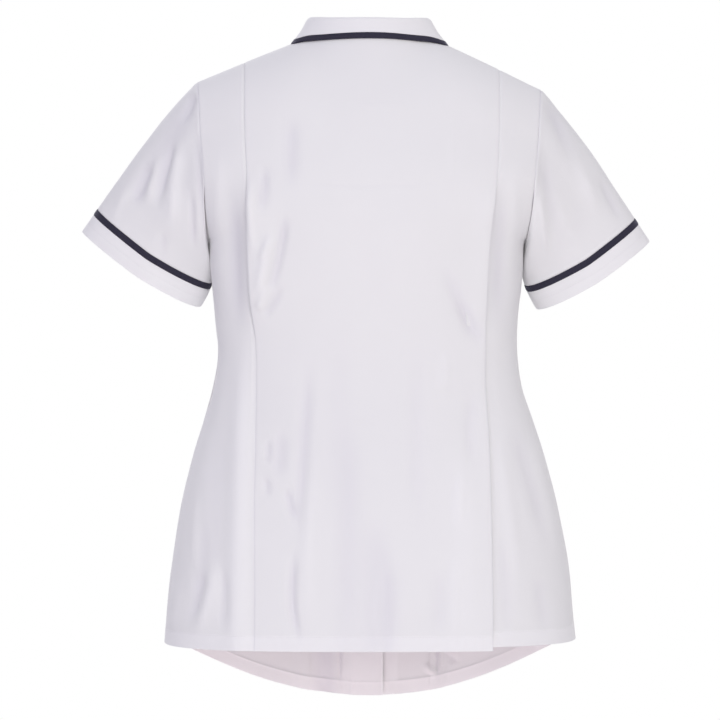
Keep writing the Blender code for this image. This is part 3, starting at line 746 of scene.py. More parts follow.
panel = {
    "step": 0.0036,             # the size of a cell of the mesh
    "wall": 0.0006,             # one layer of cloth
    "doubled": 0.0010,          # hems and facings
    "hemDepth": 0.018,
    "hemStep": {"back": 0.0012, "front": 0.0045},   # over which the hem's second layer ends
    "edgeRows": (0.0, 0.0004, 0.0010, 0.0018, 0.0028),
    "edgeStep": 0.0022,         # from the last of these to the even cells
    "hemRows": (0.0057, 0.009, 0.0122, 0.0155, 0.0165, 0.0172, 0.0178, 0.0183, 0.0190, 0.0200),
    "hemReach": 0.0235,         # from here up, the rows are even
    "softenPasses": 16,
    "underarmPasses": 40,
    "underarmRun": 0.7,         # levels
    "armholeEnd": 0.04,         # places from the side seam, where the easing starts
    "armholeRun": 0.40,
    "topCalm": 0.012,           # the back's creases fade out towards its top
    "hemStitchUp": 0.0165,      # the stitch line above the edge
    "seamRoll": 0.0004,         # how far a sewn edge turns in
    "seamRollWidth": 0.0012,
    "seamShade": 0.0060,        # painted shade along a seam, as dark as a hollow of this depth
    "seamShadeWidth": 0.0008,
    "rightRise": 0.0046,
    "riseLevel": 11.0,
    "grooveDepth": 0.00022,
    "grooveWidth": 0.0009,
    "puckerLength": 0.011,
    "puckerUp": 0.0135,
    "puckerWidth": 0.006,
    "pucker": 0.00016,
}
pleat = {
    "underlay": 0.025,          # cloth that runs on under the centre panel
    "allowance": 0.010,         # the same where the pleat is sewn shut
    "backColumns": 7,           # columns of the mesh that lie under another panel
    "frontColumns": 4,
    "closedDepth": 0.0016,
    "closedRun": 0.0022,
    "top": 1.9,
    "bottom": 7.8,
    "topRun": 1.1,              # levels over which it opens, and closes again
    "bottomRun": 1.8,
    # how far the side panel dips, over what width, and how far the fold stands off
    "left": {"depth": -0.0030, "run": 0.034, "lift": 0.0105, "liftWidth": 0.026, "below": 0.0},
    "right": {"depth": 0.0020, "run": 0.020, "lift": 0.0050, "liftWidth": 0.018, "below": 0.60},
}
closing = {
    "stand": 0.018,             # each front runs this far past the centre line
    "facing": 0.036,
    "under": 0.0042,            # how deep the left front lies under the right
    "run": 0.014,
}


def rowLevels(half):
    # rows one step apart down the centre line, with close ones at the hem's edge and fold
    fine = np.linspace(0, body["lastLevel"], 561)
    lengths = arcLengths(np.array([across(half, level, [2.5])[0] for level in fine]))
    up = np.array(panel["edgeRows"] + panel["hemRows"])
    low = lengths[-1] - panel["hemReach"]
    even = np.linspace(0, low, int(round(low / panel["step"])) + 1)
    return np.interp(np.concatenate((even, lengths[-1] - up[::-1])), lengths, fine)


def fineShares(length, count):
    # shares of a row, close together at the sewn edge where it starts
    close = np.array(panel["edgeRows"])
    even = np.linspace(close[-1] + panel["edgeStep"], length, count)
    return np.concatenate((close, even)) / length


def onSide(side, places):
    # places from the right edge towards the middle, or the same on the left
    return places if side == "right" else 5 - places[::-1]


def fromSeam(grid, side, under):
    # distances along the rows from the column where the last ones, that lie under, begin
    rows = alongRows(grid)
    return rows[:, [-under - 1]] - rows if side == "right" else rows - rows[:, [under]]


def gridOf(half, levels, placesAt, rise=None):
    # rise(places) lifts the hem there
    places = np.array([placesAt(level) for level in levels])
    grid = np.array([across(half, level, row) for level, row in zip(levels, places)])
    for _ in range(panel["softenPasses"]):
        grid[:, 1:-1] = softened(grid, 1)
    # away from the armhole, the underarm's level is eased into those above and below it
    away = (np.minimum(places, 5 - places) - panel["armholeEnd"]) / panel["armholeRun"]
    ease = bell(levels - body["underarm"], panel["underarmRun"])[:, None] * smooth(away)
    for _ in range(panel["underarmPasses"]):
        grid[1:-1] += (softened(grid) - grid[1:-1]) * ease[1:-1, :, None]
    if rise is not None:
        low = (levels - panel["riseLevel"]) / (body["lastLevel"] - panel["riseLevel"])
        grid[..., 2] += smooth(low)[:, None] * rise(places)
    return grid


def hemHeights(rows, up):
    # the groove of the hem's stitches and the small puckers beside it
    groove = panel["grooveDepth"] * bell(up - panel["hemStitchUp"], panel["grooveWidth"])
    wave = np.sin(2 * math.pi * rows / panel["puckerLength"] + 1.3 * np.sin(rows * 37))
    return panel["pucker"] * wave * bell(up - panel["puckerUp"], panel["puckerWidth"]) - groove


def bodyPanel(name, nodeName, half, placesAt, folds, extra=None, rolls=(True, True),
              rise=None):
    # extra(grid, levels) adds heights of its own; rolls says which side edges are sewn
    levels = rowLevels(half)
    grid = gridOf(half, levels, placesAt, rise)
    normals = gridNormals(grid)
    if np.mean(normals[..., 1]) * (1 if half == "back" else -1) < 0:
        normals = -normals
    rows, down = alongRows(grid), alongColumns(grid)
    up = down[-1:] - down
    creases = foldHeights(grid, folds)
    height = creases + restlessness(grid) + hemHeights(rows, up)
    for sewn, fromEdge in zip(rolls, (rows, rows[:, -1:] - rows)):
        if sewn:
            height -= panel["seamRoll"] * bell(fromEdge, panel["seamRollWidth"])
            # painted shade along the sewn edge
            creases = creases - panel["seamShade"] * bell(fromEdge, panel["seamShadeWidth"])
    if extra is not None:
        height += extra(grid, levels)
    if half == "back":
        height *= between(0.1, 1, smooth(down / panel["topCalm"]))
    layers = smooth((panel["hemDepth"] - up) / panel["hemStep"][half] + 0.5)
    if "centreFront" in name:
        layers = np.maximum(layers, np.abs(grid[..., 0]) < closing["facing"])
    outer = grid + normals * height[..., None]
    inner = outer - normals * between(panel["wall"], panel["doubled"], layers)[..., None]
    cloth = shell(name, outer, inner, whiteCloth, layers=layers, height=creases)
    declare(settle(cloth, "white_cloth", nodeName), grid)
    return {"outer": outer, "normals": normals, "up": up}


def besideSeam(half, level, count):
    # places from the princess seam to beside the neck, close together at the seam
    length = span(half, level, 1)
    close = 1 + (body["seamGap"] / 2 + np.array(panel["edgeRows"])) / length
    return np.concatenate((close, between(close[-1], 2, np.linspace(0, 1, count)[1:])))


def centreBackPlaces(level):
    right = besideSeam("back", level, 21)
    return np.concatenate((right, np.linspace(2, 3, 42)[1:-1], 5 - right[::-1]))


def pleatOpen(levels, side):
    # 0 where the pleat is sewn shut, 1 where it is open; on the right it falls open to the hem
    opens = smooth((levels - pleat["top"]) / pleat["topRun"])
    closes = smooth((pleat["bottom"] - levels) / pleat["bottomRun"])
    return (opens * between(pleat[side]["below"], 1, closes))[:, None]


def liftedEdges(grid, levels):
    # the centre panel's folded edges stand off where the pleats are open
    rows = alongRows(grid)
    height = np.zeros_like(rows)
    for side, fromEdge in (("right", rows), ("left", rows[:, -1:] - rows)):
        shape = pleat[side]
        height += shape["lift"] * pleatOpen(levels, side) * bell(fromEdge, shape["liftWidth"])
    return height


def sideBackPlaces(side):
    def places(level):
        length = span("back", level, 0 if side == "right" else 4)
        opened = float(np.sqrt(pleatOpen(np.array([level]), side))[0, 0])
        reach = between(pleat["allowance"], pleat["underlay"], opened)
        under = placesPast("back", level, np.linspace(0, reach, pleat["backColumns"] + 1)[1:])
        return onSide(side, np.concatenate((fineShares(length, 32), under)))
    return places


def tucked(away):
    # how deep cloth lies under the next panel, from the seam on
    return pleat["closedDepth"] * smooth(1 - away / pleat["closedRun"])


def dipOf(side):
    # the side back dips towards the seam and runs on under the centre back
    def dip(grid, levels):
        away = fromSeam(grid, side, pleat["backColumns"])
        opened = pleatOpen(levels, side)
        deep = pleat[side]["depth"] * opened * smooth(1 - (away - 0.001) / pleat[side]["run"])
        return -deep - tucked(away)
    return dip


def sideFrontPlaces(side):
    def places(level):
        under = np.linspace(0, pleat["allowance"], pleat["frontColumns"] + 1)[1:]
        shown = fineShares(span("front", level, 0), 40)
        return onSide(side, np.concatenate((shown, placesPast("front", level, under))))
    return places


def tuckOf(side):
    # the side front's allowance lies under the centre front
    def tuck(grid, levels):
        away = fromSeam(grid, side, pleat["frontColumns"])
        return -tucked(away)
    return tuck


def centreFrontPlaces(side):
    # from the seam to the facing's edge, then past the centre line to the front edge
    sign = -1 if side == "right" else 1
    stand, facing = closing["stand"], closing["facing"]
    stops = np.concatenate((
        [facing + 0.0008, facing], np.linspace(facing - 0.004, stand + 0.001, 6),
        np.linspace(stand - 0.0025, 0.006 - stand, 10), np.array(panel["edgeRows"][::-1]) - stand))

    def places(level):
        sideward = besideSeam("front", level, 25)
        inner = placeOfX("front", level, stops * sign)
        if side == "left":
            inner = 5 - inner
        toFacing = between(2, inner[0], np.linspace(0, 1, 13)[1:-1])
        return onSide(side, np.concatenate((sideward, toFacing, inner)))
    return places


def underRight(grid, levels):
    run = (closing["stand"] + closing["run"] - grid[..., 0]) / (closing["run"] - 0.001)
    return -closing["under"] * smooth(run)


def raisedHem(places):
    # the right side hangs a little higher than the left
    return np.full_like(places, panel["rightRise"])


def buildBody():
    made = {"centreBack": bodyPanel(
        "centreBack", "back_centre", "back", centreBackPlaces, centreBackFolds,
        liftedEdges)}
    for side in ("Left", "Right"):
        low, raised = side.lower(), side == "Right"
        names = [part + side for part in ("sideBack", "sideFront", "centreFront")]
        rolls = (low == "right", low == "left")
        made[names[0]] = bodyPanel(
            names[0], "back_side_" + low, "back", sideBackPlaces(low), sideBackFolds,
            dipOf(low), rolls, raisedHem if raised else None)
        made[names[1]] = bodyPanel(
            names[1], "front_side_" + low, "front", sideFrontPlaces(low), frontFolds,
            tuckOf(low), rolls,
            (lambda u: raisedHem(u) * np.clip(1 - u, 0, 1)) if raised else None)
        made[names[2]] = bodyPanel(
            names[2], "front_centre_" + low, "front", centreFrontPlaces(low), frontFolds,
            underRight if low == "left" else None)
    return made


panels = buildBody()
print("body panels made")


# sleeves

sleeve = {
    "around": 132,              # points round it
    "wall": 0.0006,
    "cuffDepth": 0.0245,
    "trimWidth": 0.0080,
    "cuffHalfDepth": 0.046,
    "cuffY": -0.032,
    "cuffPitch": math.radians(15),
    "fullness": 0.93,           # the share of a round opening's depth
    "pinch": 0.42,              # how much flatter the opening gets towards its outer corner
    "pinchSpread": 0.05,
    "headRise": 0.22,
    "underarmLean": 0.1,
    "hemFlare": 0.4,
    "underarmFlare": 1.7,       # the same below, where the sleeve turns out round the arm
    "armholeGap": 0.0007,
    "headRoll": 0.0004,         # the sleeve head's ease stands up beside the seam
    "headRollWidth": 0.004,
    "seamRoll": 0.0006,         # and turns in at the seam
    "seamRollWidth": 0.0012,
    "hemRoll": 0.0003,
    "tuck": 0.0022,             # sleeve and cuff run on under the trim
    "tuckDepth": 0.0011,
    "tuckRun": 0.0016,          # over which they go down there
    "stitchUp": 0.0125,         # the stitch line above the hem
    "edgeRows": (0, 0.0005, 0.0012, 0.0022, 0.0034),    # down from the armhole
    "calm": 0.25,               # what is left of the folds at the cuff
    "calmLength": 0.05,
    "foldsTurn": -0.045,        # ahead of this y the front's folds begin
    "foldsRun": 0.03,
    "seamShadeWidth": 0.0011,
    "grooveDepth": 0.0002,
    "grooveWidth": 0.0009,
    "trimRise": 0.00045,
    "trimWall": 0.0005,
    "trimRound": 0.0012,
}
# x and z of each cuff's outer and inner end
sleeveRows = (
    ("left", 0.3474, -0.2333, 0.2035, -0.3250),
    ("right", 0.3400, -0.2450, 0.2030, -0.3280),
)


def armhole(side):
    u = [0.0 if side == "right" else 5.0]
    levels = np.linspace(0, body["underarm"], 91)
    back = np.array([across("back", level, u)[0] for level in levels])
    front = np.array([across("front", level, u)[0] for level in levels])
    back[0] = front[0] = (back[0] + front[0]) / 2
    loop = np.vstack([back, front[::-1][1:]])
    return pointsAlong(loop, np.linspace(0, arcLengths(loop)[-1], sleeve["around"] + 1)[:-1])


def sleeveCurves(row):
    # for each point round the sleeve, a curve from the armhole to the hem
    side, tipX, tipZ, innerX, innerZ = row
    sign = -1 if side == "right" else 1
    tip = np.array([tipX * sign, sleeve["cuffY"], tipZ])
    innerEnd = np.array([innerX * sign, sleeve["cuffY"], innerZ])
    wide = (tip - innerEnd) / 2
    outward = unit(np.array([wide[2] * sign, 0, -wide[0] * sign]))
    pitch = sleeve["cuffPitch"]
    turn = turns(sleeve["around"])[:, None]
    outer = np.clip(np.cos(turn) + sleeve["pinchSpread"], 0, 1)
    pinch = sleeve["fullness"] - sleeve["pinch"] * outer
    deep = np.array([0, math.cos(pitch), 0]) + math.sin(pitch) * pinch * outward
    start = armhole(side)
    end = (tip + innerEnd) / 2 + wide * np.cos(turn) + sleeve["cuffHalfDepth"] * deep * np.sin(turn)
    chord = end - start
    length = np.linalg.norm(chord, axis=1, keepdims=True)
    top = np.clip(np.cos(turn), 0, 1)
    low = np.clip(-np.cos(turn), 0, 1)
    leave = chord / length + sleeve["headRise"] * np.array([0, 0, 1.0]) * top
    leave = leave * (1 - low) + np.array([0, -sleeve["underarmLean"], -1.0]) * low
    flare = between(sleeve["hemFlare"], sleeve["underarmFlare"], low)
    arrive = chord / length * np.clip(1 - flare, 0, 1) + outward * flare
    return cubic(np.linspace(0, 1, 61)[:, None, None], start, leave * length, end, arrive * length)


def ringsUp(curves, ups):
    # rings at distances up from the hem, one list for each point round the sleeve
    rings = []
    for curve in curves.transpose(1, 0, 2):
        lengths = arcLengths(curve)
        rings.append(interpolated(lengths[-1] - ups(lengths[-1]), lengths, curve))
    return np.array(rings).transpose(1, 0, 2)


def sleeveHeights(grid, ups):
    # the folds die away towards the trim and the cuff, which are stiffer
    behind = smooth((grid[..., 1] - sleeve["foldsTurn"]) / sleeve["foldsRun"])
    height = foldHeights(grid, sleeveBackFolds) * behind
    height = height + foldHeights(grid, sleeveFrontFolds) * (1 - behind) + restlessness(grid)
    calm = smooth((ups - sleeve["cuffDepth"]) / sleeve["calmLength"])
    return height * between(sleeve["calm"], 1, calm)[:, None]


def sleevePiece(part, finish, side, curves, ups, profile, wall, layers=0.0, seamShade=0.0):
    # profile gives the height that goes with each row, on top of the folds
    grid = ringsUp(curves, ups)
    normals = gridNormals(grid, flip=side == "right", closed=True)
    along = alongColumns(grid)
    creases = sleeveHeights(grid, ups(0.2))
    height = creases + profile(along)
    # painted shade along the armhole seam
    creases = creases - seamShade * bell(along, sleeve["seamShadeWidth"])
    outer = grid + normals * height[..., None]
    piece = shell(
        part + side.capitalize(), outer, outer - normals * wall, finish, closed=True,
        layers=np.full(grid.shape[:2], layers), height=creases)
    nodeName = {"sleeve": "sleeve_", "sleeveTrim": "sleeve_trim_", "cuff": "cuff_"}[part] + side
    settle(piece, "navy_trim" if finish == navyTrim else "white_cloth", nodeName)
    declare(piece, grid, closed=True)
    return {"outer": outer, "normals": normals}


trimLow = sleeve["cuffDepth"] + body["seamGap"]
trimTop = trimLow + sleeve["trimWidth"]


def sleeveUps(total):
    low, high = trimTop - sleeve["tuck"], total - sleeve["armholeGap"]
    even = between(high - 0.006, trimTop + 0.002, np.linspace(0, 1, 46))
    last = [trimTop + 0.0008, trimTop, low + 0.0011, low]
    return np.concatenate((high - np.array(sleeve["edgeRows"]), even, last))


def sleeveProfile(along):
    width = sleeve["headRollWidth"]
    ease = sleeve["headRoll"] * bell(along - width, width)
    ease = ease - sleeve["seamRoll"] * bell(along, sleeve["seamRollWidth"])
    tuck = smooth((along - along[-1:] + sleeve["tuck"] + 0.001) / sleeve["tuckRun"])
    return ease - sleeve["tuckDepth"] * tuck


def trimUps(total):
    return np.linspace(trimTop, trimLow, 11)


def trimProfile(along):
    fromEdge = np.minimum(along, along[-1:] - along)
    return sleeve["trimRise"] * smooth(fromEdge / sleeve["trimRound"])


def cuffUps(total):
    # rows close together at the tuck under the trim, the stitch line and the edge
    top = sleeve["cuffDepth"]
    high = top + sleeve["tuck"]
    stitchRows = sleeve["stitchUp"] + np.array([0.0009, 0, -0.0009])
    rows = np.concatenate((
        [high, high - 0.0011, top - 0.0002], np.linspace(top - 0.001, 0.0028, 8), stitchRows,
        [0.0017, 0.0009, 0.0004, 0.0]))
    return np.sort(rows)[::-1]


def cuffProfile(along):
    fromEdge = along[-1:] - along
    tuck = smooth(1 - (along - sleeve["tuck"] + 0.0012) / sleeve["tuckRun"])
    groove = sleeve["grooveDepth"] * bell(fromEdge - sleeve["stitchUp"], sleeve["grooveWidth"])
    return -sleeve["tuckDepth"] * tuck - groove - sleeve["hemRoll"] * bell(fromEdge, 0.0008)


def buildSleeves():
    made = {}
    for row in sleeveRows:
        side, tail = row[0], row[0].capitalize()
        curves = sleeveCurves(row)
        sleevePiece(
            "sleeve", whiteCloth, side, curves, sleeveUps, sleeveProfile, sleeve["wall"],
            seamShade=panel["seamShade"])
        sleevePiece(
            "sleeveTrim", navyTrim, side, curves, trimUps, trimProfile, sleeve["trimWall"])
        made["cuff" + tail] = sleevePiece(
            "cuff", whiteCloth, side, curves, cuffUps, cuffProfile, 2 * sleeve["wall"],
            layers=1.0)
    return made


cuffs = buildSleeves()
print("sleeves made")


# collar

collar = {
    "wall": 0.0009,
    "trimWidth": 0.0076,
    "trimRise": 0.0004,
    "trimRound": 0.0011,        # over which it rises at its edge
    "trimSink": 0.0002,         # how much further its inside lies than the cloth's
    "seam": 0.0003,             # between the trim and the cloth
    "restless": 0.00025,
    "backClearance": 0.0022,
    "shoulderClearance": 0.0013,
    "frontClearance": 0.0030,
    "backNeckGap": 0.0019,
    "frontNeckGap": 0.0024,
    "standBow": 0.0004,
    "foldFoot": 0.0012,
    "foldCrown": 0.0006,
    "foldWidth": 0.0042,
    "foldDrop": 0.0010,
    "shoulderStation": 0.42,
    "trimStation": 0.955,       # the trim on the collar's ends starts here
    "frontEndPlace": 0.03,
    "frontLanding": 0.6,
    "shoulderLanding": 0.12,    # how far the fall lies down at the shoulder, from its free line
    # the stations where these start, and over how many they come in
    "neckGapRun": (0.36, 0.14),
    "shoulderRun": (0.16, 0.14),
    "frontRun": (0.46, 0.20),
    "straightRun": (0.50, 0.20),
    "slantRun": (0.72, 0.25),
    "slant": 0.3,               # share of its width by which the trim then gets wider
    "clearanceStops": (0.2, 0.42, 0.65),    # stations of the three clearances
    "stations": 85,
    "endStations": 7,
    "fallShares": (0.22, 0.44, 0.66, 0.84),
    "standRows": 13,
    "fallRows": 13,
    "endColumns": 7,            # columns of trim at each end
    "softenPasses": 30,
    "evenPasses": 3,            # the first of them, which soften the stand as well
}
# From the centre back (0) over the shoulder seam to the centre front (1).
collarColumns = ("station", "foldIn", "foldUp", "edgePlace", "edgeLevel")
collarRows = (
    (0.00, 0.0070, 0.0134, 0.00, 0.126),
    (0.11, 0.0069, 0.0142, 0.36, 0.138),
    (0.22, 0.0068, 0.0166, 0.74, 0.197),
    (0.28, 0.0066, 0.0188, 0.97, 0.243),
    (0.34, 0.0064, 0.0212, 1.18, 0.238),
    (0.38, 0.0062, 0.0228, 1.28, 0.165),
    (0.42, 0.0060, 0.0240, 1.33, 0.000),
    (0.48, 0.0056, 0.0225, 1.32, 0.160),
    (0.56, 0.0051, 0.0190, 1.25, 0.300),
    (0.65, 0.0046, 0.0158, 1.17, 0.450),
    (0.85, 0.0036, 0.0105, 0.98, 0.760),
    (1.00, 0.0030, 0.0070, 0.72, 0.960),
)
collarKeys = column(collarRows, collarColumns, "station")


def atStation(station, name):
    return float(spline(station, collarKeys, column(collarRows, collarColumns, name)))


def comesIn(station, name):
    start, run = collar[name]
    return smooth((station - start) / run)


def frontBelowNeck(sign):
    # points and normals of the front on one side of the neck
    u = 2.5 + sign * np.linspace(0, 1.4, 71)
    points = np.array([across("front", level, u) for level in np.linspace(0, 2.4, 61)])
    normals = gridNormals(points)
    normals = normals * -np.sign(normals[..., 1:2])
    return points.reshape(-1, 3), normals.reshape(-1, 3)


belowNeck = {sign: frontBelowNeck(sign) for sign in (-1, 1)}


def dropOn(surface, point):
    # the surface straight behind a point
    points, normals = surface
    away = (points[:, 0] - point[0]) ** 2 + (points[:, 2] - point[2]) ** 2
    at, normal = points[away.argmin()], normals[away.argmin()]
    y = at[1] - (normal[0] * (point[0] - at[0]) + normal[2] * (point[2] - at[2])) / normal[1]
    return np.array([point[0], y, point[2]]), normal


def collarSection(station, sign):
    # one section: up the stand, over the fold and down the fall to its edge
    half = "back" if station <= collar["shoulderStation"] else "front"
    if half == "back":
        neckPlace = station / collar["shoulderStation"]
    else:
        neckPlace = (1 - station) / (1 - collar["shoulderStation"])
        neckPlace = max(neckPlace, collar["frontEndPlace"])
    ahead = comesIn(station, "neckGapRun")
    neck, neckNormal = surfaceFrame(half, 0.0, neckPlace, sign)
    beside = surfaceFrame(half, 0.0, neckPlace + (0.02 if neckPlace < 0.5 else -0.02), sign)[0]
    inward = unit(np.array([-neck[0], -neck[1], 0.0]))
    offEdge = unit(np.cross(neckNormal, beside - neck))
    if np.dot(offEdge, inward + [0, 0, 1]) < 0:
        offEdge = -offEdge
    up = np.array([0, 0, 1.0])
    bottom = neck + offEdge * between(collar["backNeckGap"], collar["frontNeckGap"], ahead)
    fold = neck + inward * atStation(station, "foldIn") + up * atStation(station, "foldUp")
    turnOut = fold - inward * collar["foldWidth"] - up * collar["foldDrop"]
    section = [
        bottom,
        (bottom + fold) / 2 - inward * collar["standBow"],
        fold - up * collar["foldFoot"],
        fold - inward * collar["foldWidth"] / 2 + up * collar["foldCrown"],
        turnOut,
    ]
    clearances = [collar[name + "Clearance"] for name in ("back", "shoulder", "front")]
    clear = np.interp(station, collar["clearanceStops"], clearances)
    edgePlace, edgeLevel = atStation(station, "edgePlace"), atStation(station, "edgeLevel")
    edge, edgeNormal = surfaceFrame(half, edgeLevel, edgePlace, sign)
    edge = edge + edgeNormal * clear
    laid = comesIn(station, "frontRun")
    shoulderLanding = collar["shoulderLanding"] * comesIn(station, "shoulderRun")
    even = comesIn(station, "straightRun")
    for share in collar["fallShares"]:
        straight = between(turnOut, edge, share)
        place = between(neckPlace, edgePlace, share)
        low, normal = surfaceFrame(half, edgeLevel * share, place, sign)
        if even > 0:
            behind, behindNormal = dropOn(belowNeck[sign], straight)
            low = low * (1 - even) + behind * even
            normal = unit(normal * (1 - even) + behindNormal * even)
        lying = low + normal * clear
        onto = smooth(share / collar["frontLanding"]) * max(laid, shoulderLanding)
        point = straight * (1 - onto) + lying * onto
        depth = np.dot(point - low, normal)
        if depth < clear:
            point = point + normal * (clear - depth)
        section.append(point)
    section.append(edge)
    return roundSection(np.array(section), 1 + collar["slant"] * comesIn(station, "slantRun"))


def roundSection(points, slant):
    # a smooth line through the section's points, then rows for the cloth and for the trim,
    # which is wider along a section that slants towards the collar's point
    lengths = arcLengths(points)
    fine = np.linspace(0, lengths[-1], 160)
    line = np.column_stack([spline(fine, lengths, points[:, k]) for k in range(3)])
    total = arcLengths(line)[-1]
    fallStart = lengths[4]
    trimTop = total - collar["trimWidth"] * slant
    stand = np.linspace(0, fallStart, collar["standRows"])
    fall = np.linspace(fallStart, trimTop - collar["seam"], collar["fallRows"] + 1)[1:]
    trim = np.linspace(trimTop, total, 9)
    return pointsAlong(line, np.concatenate((stand, fall, trim)))


def evenEnds(grid):
    # the trim on the collar's two front edges gets its own width all along them
    standRows, ends = collar["standRows"], collar["endColumns"]
    over = alongRows(grid)
    spaced = grid.copy()
    trims = []
    for side, beside in ((0, 1), (-1, -2)):
        line = grid[:, side]
        slant = np.cross(unit(grid[:, beside] - line), unit(np.gradient(line, axis=0)))
        widths = collar["trimWidth"] / np.clip(np.linalg.norm(slant, axis=1), 0.55, 1)
        widths[:standRows] = widths[standRows]
        for _ in range(6):
            widths[1:-1] = softened(widths)
        trims.append(widths)
    starts, stops = trims[0], over[:, -1] - trims[1]
    for k, row in enumerate(grid):
        low, high = starts[k] + collar["seam"], stops[k] - collar["seam"]
        share = (over[k, ends:-ends] - over[k, ends]) / (over[k, -ends - 1] - over[k, ends])
        along = np.concatenate((
            np.linspace(0, starts[k], ends), between(low, high, share),
            np.linspace(stops[k], over[k, -1], ends)))
        spaced[k] = pointsAlong(row, along)
    return spaced


def buildCollar():
    standRows, fallRows, ends = collar["standRows"], collar["fallRows"], collar["endColumns"]
    stations = np.concatenate((
        np.linspace(0, collar["trimStation"], collar["stations"])[:-1],
        np.linspace(collar["trimStation"], 1, collar["endStations"])))
    sections = [collarSection(s, -1) for s in stations[::-1]]
    sections += [collarSection(s, 1) for s in stations[1:]]
    grid = np.array(sections).transpose(1, 0, 2)
    # soften the joins between the table's rows, most of all at the edge
    soften = smooth((np.arange(len(grid)) - standRows + 4) / fallRows)[:, None, None]
    for done in range(collar["softenPasses"]):
        share = 1 if done < collar["evenPasses"] else soften
        grid[:, 1:-1] += (softened(grid, 1) - grid[:, 1:-1]) * share
    grid = evenEnds(grid)
    normals = gridNormals(grid, flip=True)
    rows, columns = grid.shape[:2]
    clothCells, trimCells = np.zeros((2, rows - 1, columns - 1), dtype=bool)
    clothCells[:standRows - 1] = True
    clothCells[standRows - 1:standRows + fallRows - 1, ends:-ends] = True
    trimCells[standRows + fallRows:] = True
    trimCells[standRows - 1:, :ends - 1] = True
    trimCells[standRows - 1:, 1 - ends:] = True
    outer = grid + normals * restlessness(grid, collar["restless"])[..., None]
    cloth = shell("collarCloth", outer, outer - normals * collar["wall"], whiteCloth,
                  cells=clothCells, layers=np.ones((rows, columns)))
    down, over = alongColumns(grid), alongRows(grid)
    fromEdge = np.minimum(down[-1:] - down, np.minimum(over, over[:, -1:] - over))
    fromTop = collar["trimWidth"] - fromEdge
    rise = smooth(fromEdge / collar["trimRound"]) * smooth(fromTop / 0.0009 + 0.2)
    trim = shell("collarTrim", outer + normals * collar["trimRise"] * rise[..., None],
                 outer - normals * (collar["wall"] + collar["trimSink"]), navyTrim, cells=trimCells)
    settle(cloth, "white_cloth", "collar")
    settle(trim, "navy_trim", "collar_trim")


buildCollar()
print("collar made")


# threads

def tube(path, radii, sides=6):
    # a closed tube along a path, as points and faces
    path = np.asarray(path, dtype=float)
    ahead = unit(np.gradient(path, axis=0))
    side = unit(np.cross(ahead, [0.31, 0.17, 0.93]))    # no path runs in this direction
    turn = turns(sides)[:, None]
    radii = np.broadcast_to(radii, (len(path),))
    rings = [
        p + r * (np.cos(turn) * a + np.sin(turn) * b)
        for p, r, a, b in zip(path, radii, side, np.cross(ahead, side))
    ]
    faces = [tuple(range(sides))[::-1], tuple((len(path) - 1) * sides + k for k in range(sides))]
    for i in range(len(path) - 1):
        for j in range(sides):
            k = (j + 1) % sides
            faces.append((i * sides + j, i * sides + k, (i + 1) * sides + k, (i + 1) * sides + j))
    return np.vstack(rings), faces


def joined(parts):
    points, faces, start = [], [], 0
    for more, cells in parts:
        points.append(more)
        faces += [tuple(k + start for k in cell) for cell in cells]
        start += len(more)
    return np.vstack(points), faces


stitch = {
    "length": 0.0024,
    "gap": 0.0009,
    "radius": 0.00021,
    "arch": 0.00016,
    "sink": 0.00008,            # its ends go into the cloth
    "taper": 0.7,
    "frontInset": 0.006,        # from the front edge to the row beside it
}


def stitches(line, normals):
    # a row of lockstitches along a line on the cloth
    lengths = arcLengths(line)
    count = int(lengths[-1] / (stitch["length"] + stitch["gap"]))
    parts = []
    for k in range(count):
        start = (k + 0.3) * lengths[-1] / count
        share = np.array([0, 0.5, 1.0]) * stitch["length"] + start
        path = pointsAlong(line, share)
        up = unit(interpolated(share, lengths, normals))
        lift = np.array([-stitch["sink"], stitch["arch"], -stitch["sink"]])[:, None]
        radii = stitch["radius"] * np.array([stitch["taper"], 1, stitch["taper"]])
        parts.append(tube(path + up * lift, radii, 4))
    return parts


def lineAt(value, strips):
    # the line across strips of cloth where their keys have this value, and its normals
    line, lean = [], []
    for keys, points, normals in strips:
        line.append(interpolated([value], keys, points)[0])
        lean.append(interpolated([value], keys, normals)[0])
    return np.array(line), unit(np.array(lean))


def hemLine(part, up):
    # runs at a distance up from the piece's hem
    return lineAt(up, zip(*(part[key][::-1].swapaxes(0, 1) for key in ("up", "outer", "normals"))))


def columnLine(part, x):
    # runs down a front at a distance from the centre line
    rows = part["outer"][::2]
    return lineAt(x, zip(rows[..., 0], rows, part["normals"][::2]))


def buildStitches():
    rows = {"hemStitches": [], "frontStitches": [], "cuffStitches": []}
    for name, part in panels.items():
        line, lean = hemLine(part, panel["hemStitchUp"])
        shown = slice(None)
        if name.startswith("side"):
            hidden = 1 + pleat["backColumns" if "Back" in name else "frontColumns"]
            shown = slice(hidden, None) if name.endswith("Left") else slice(None, -hidden)
        rows["hemStitches"] += stitches(line[shown], lean[shown])
    edge = closing["stand"] - stitch["frontInset"]
    line, lean = columnLine(panels["centreFrontRight"], edge)
    rows["frontStitches"] += stitches(line[3:], lean[3:])
    for cuff in cuffs.values():
        whole = {key: wrapped(grid) for key, grid in cuff.items()}
        down = alongColumns(whole["outer"])
        whole["up"] = down[-1:] - down
        rows["cuffStitches"] += stitches(*hemLine(whole, sleeve["stitchUp"]))
    for name, parts in rows.items():
        settle(meshFrom(name, *joined(parts), whiteThread), "white_cloth")


buildStitches()
print("stitches made")


# buttons

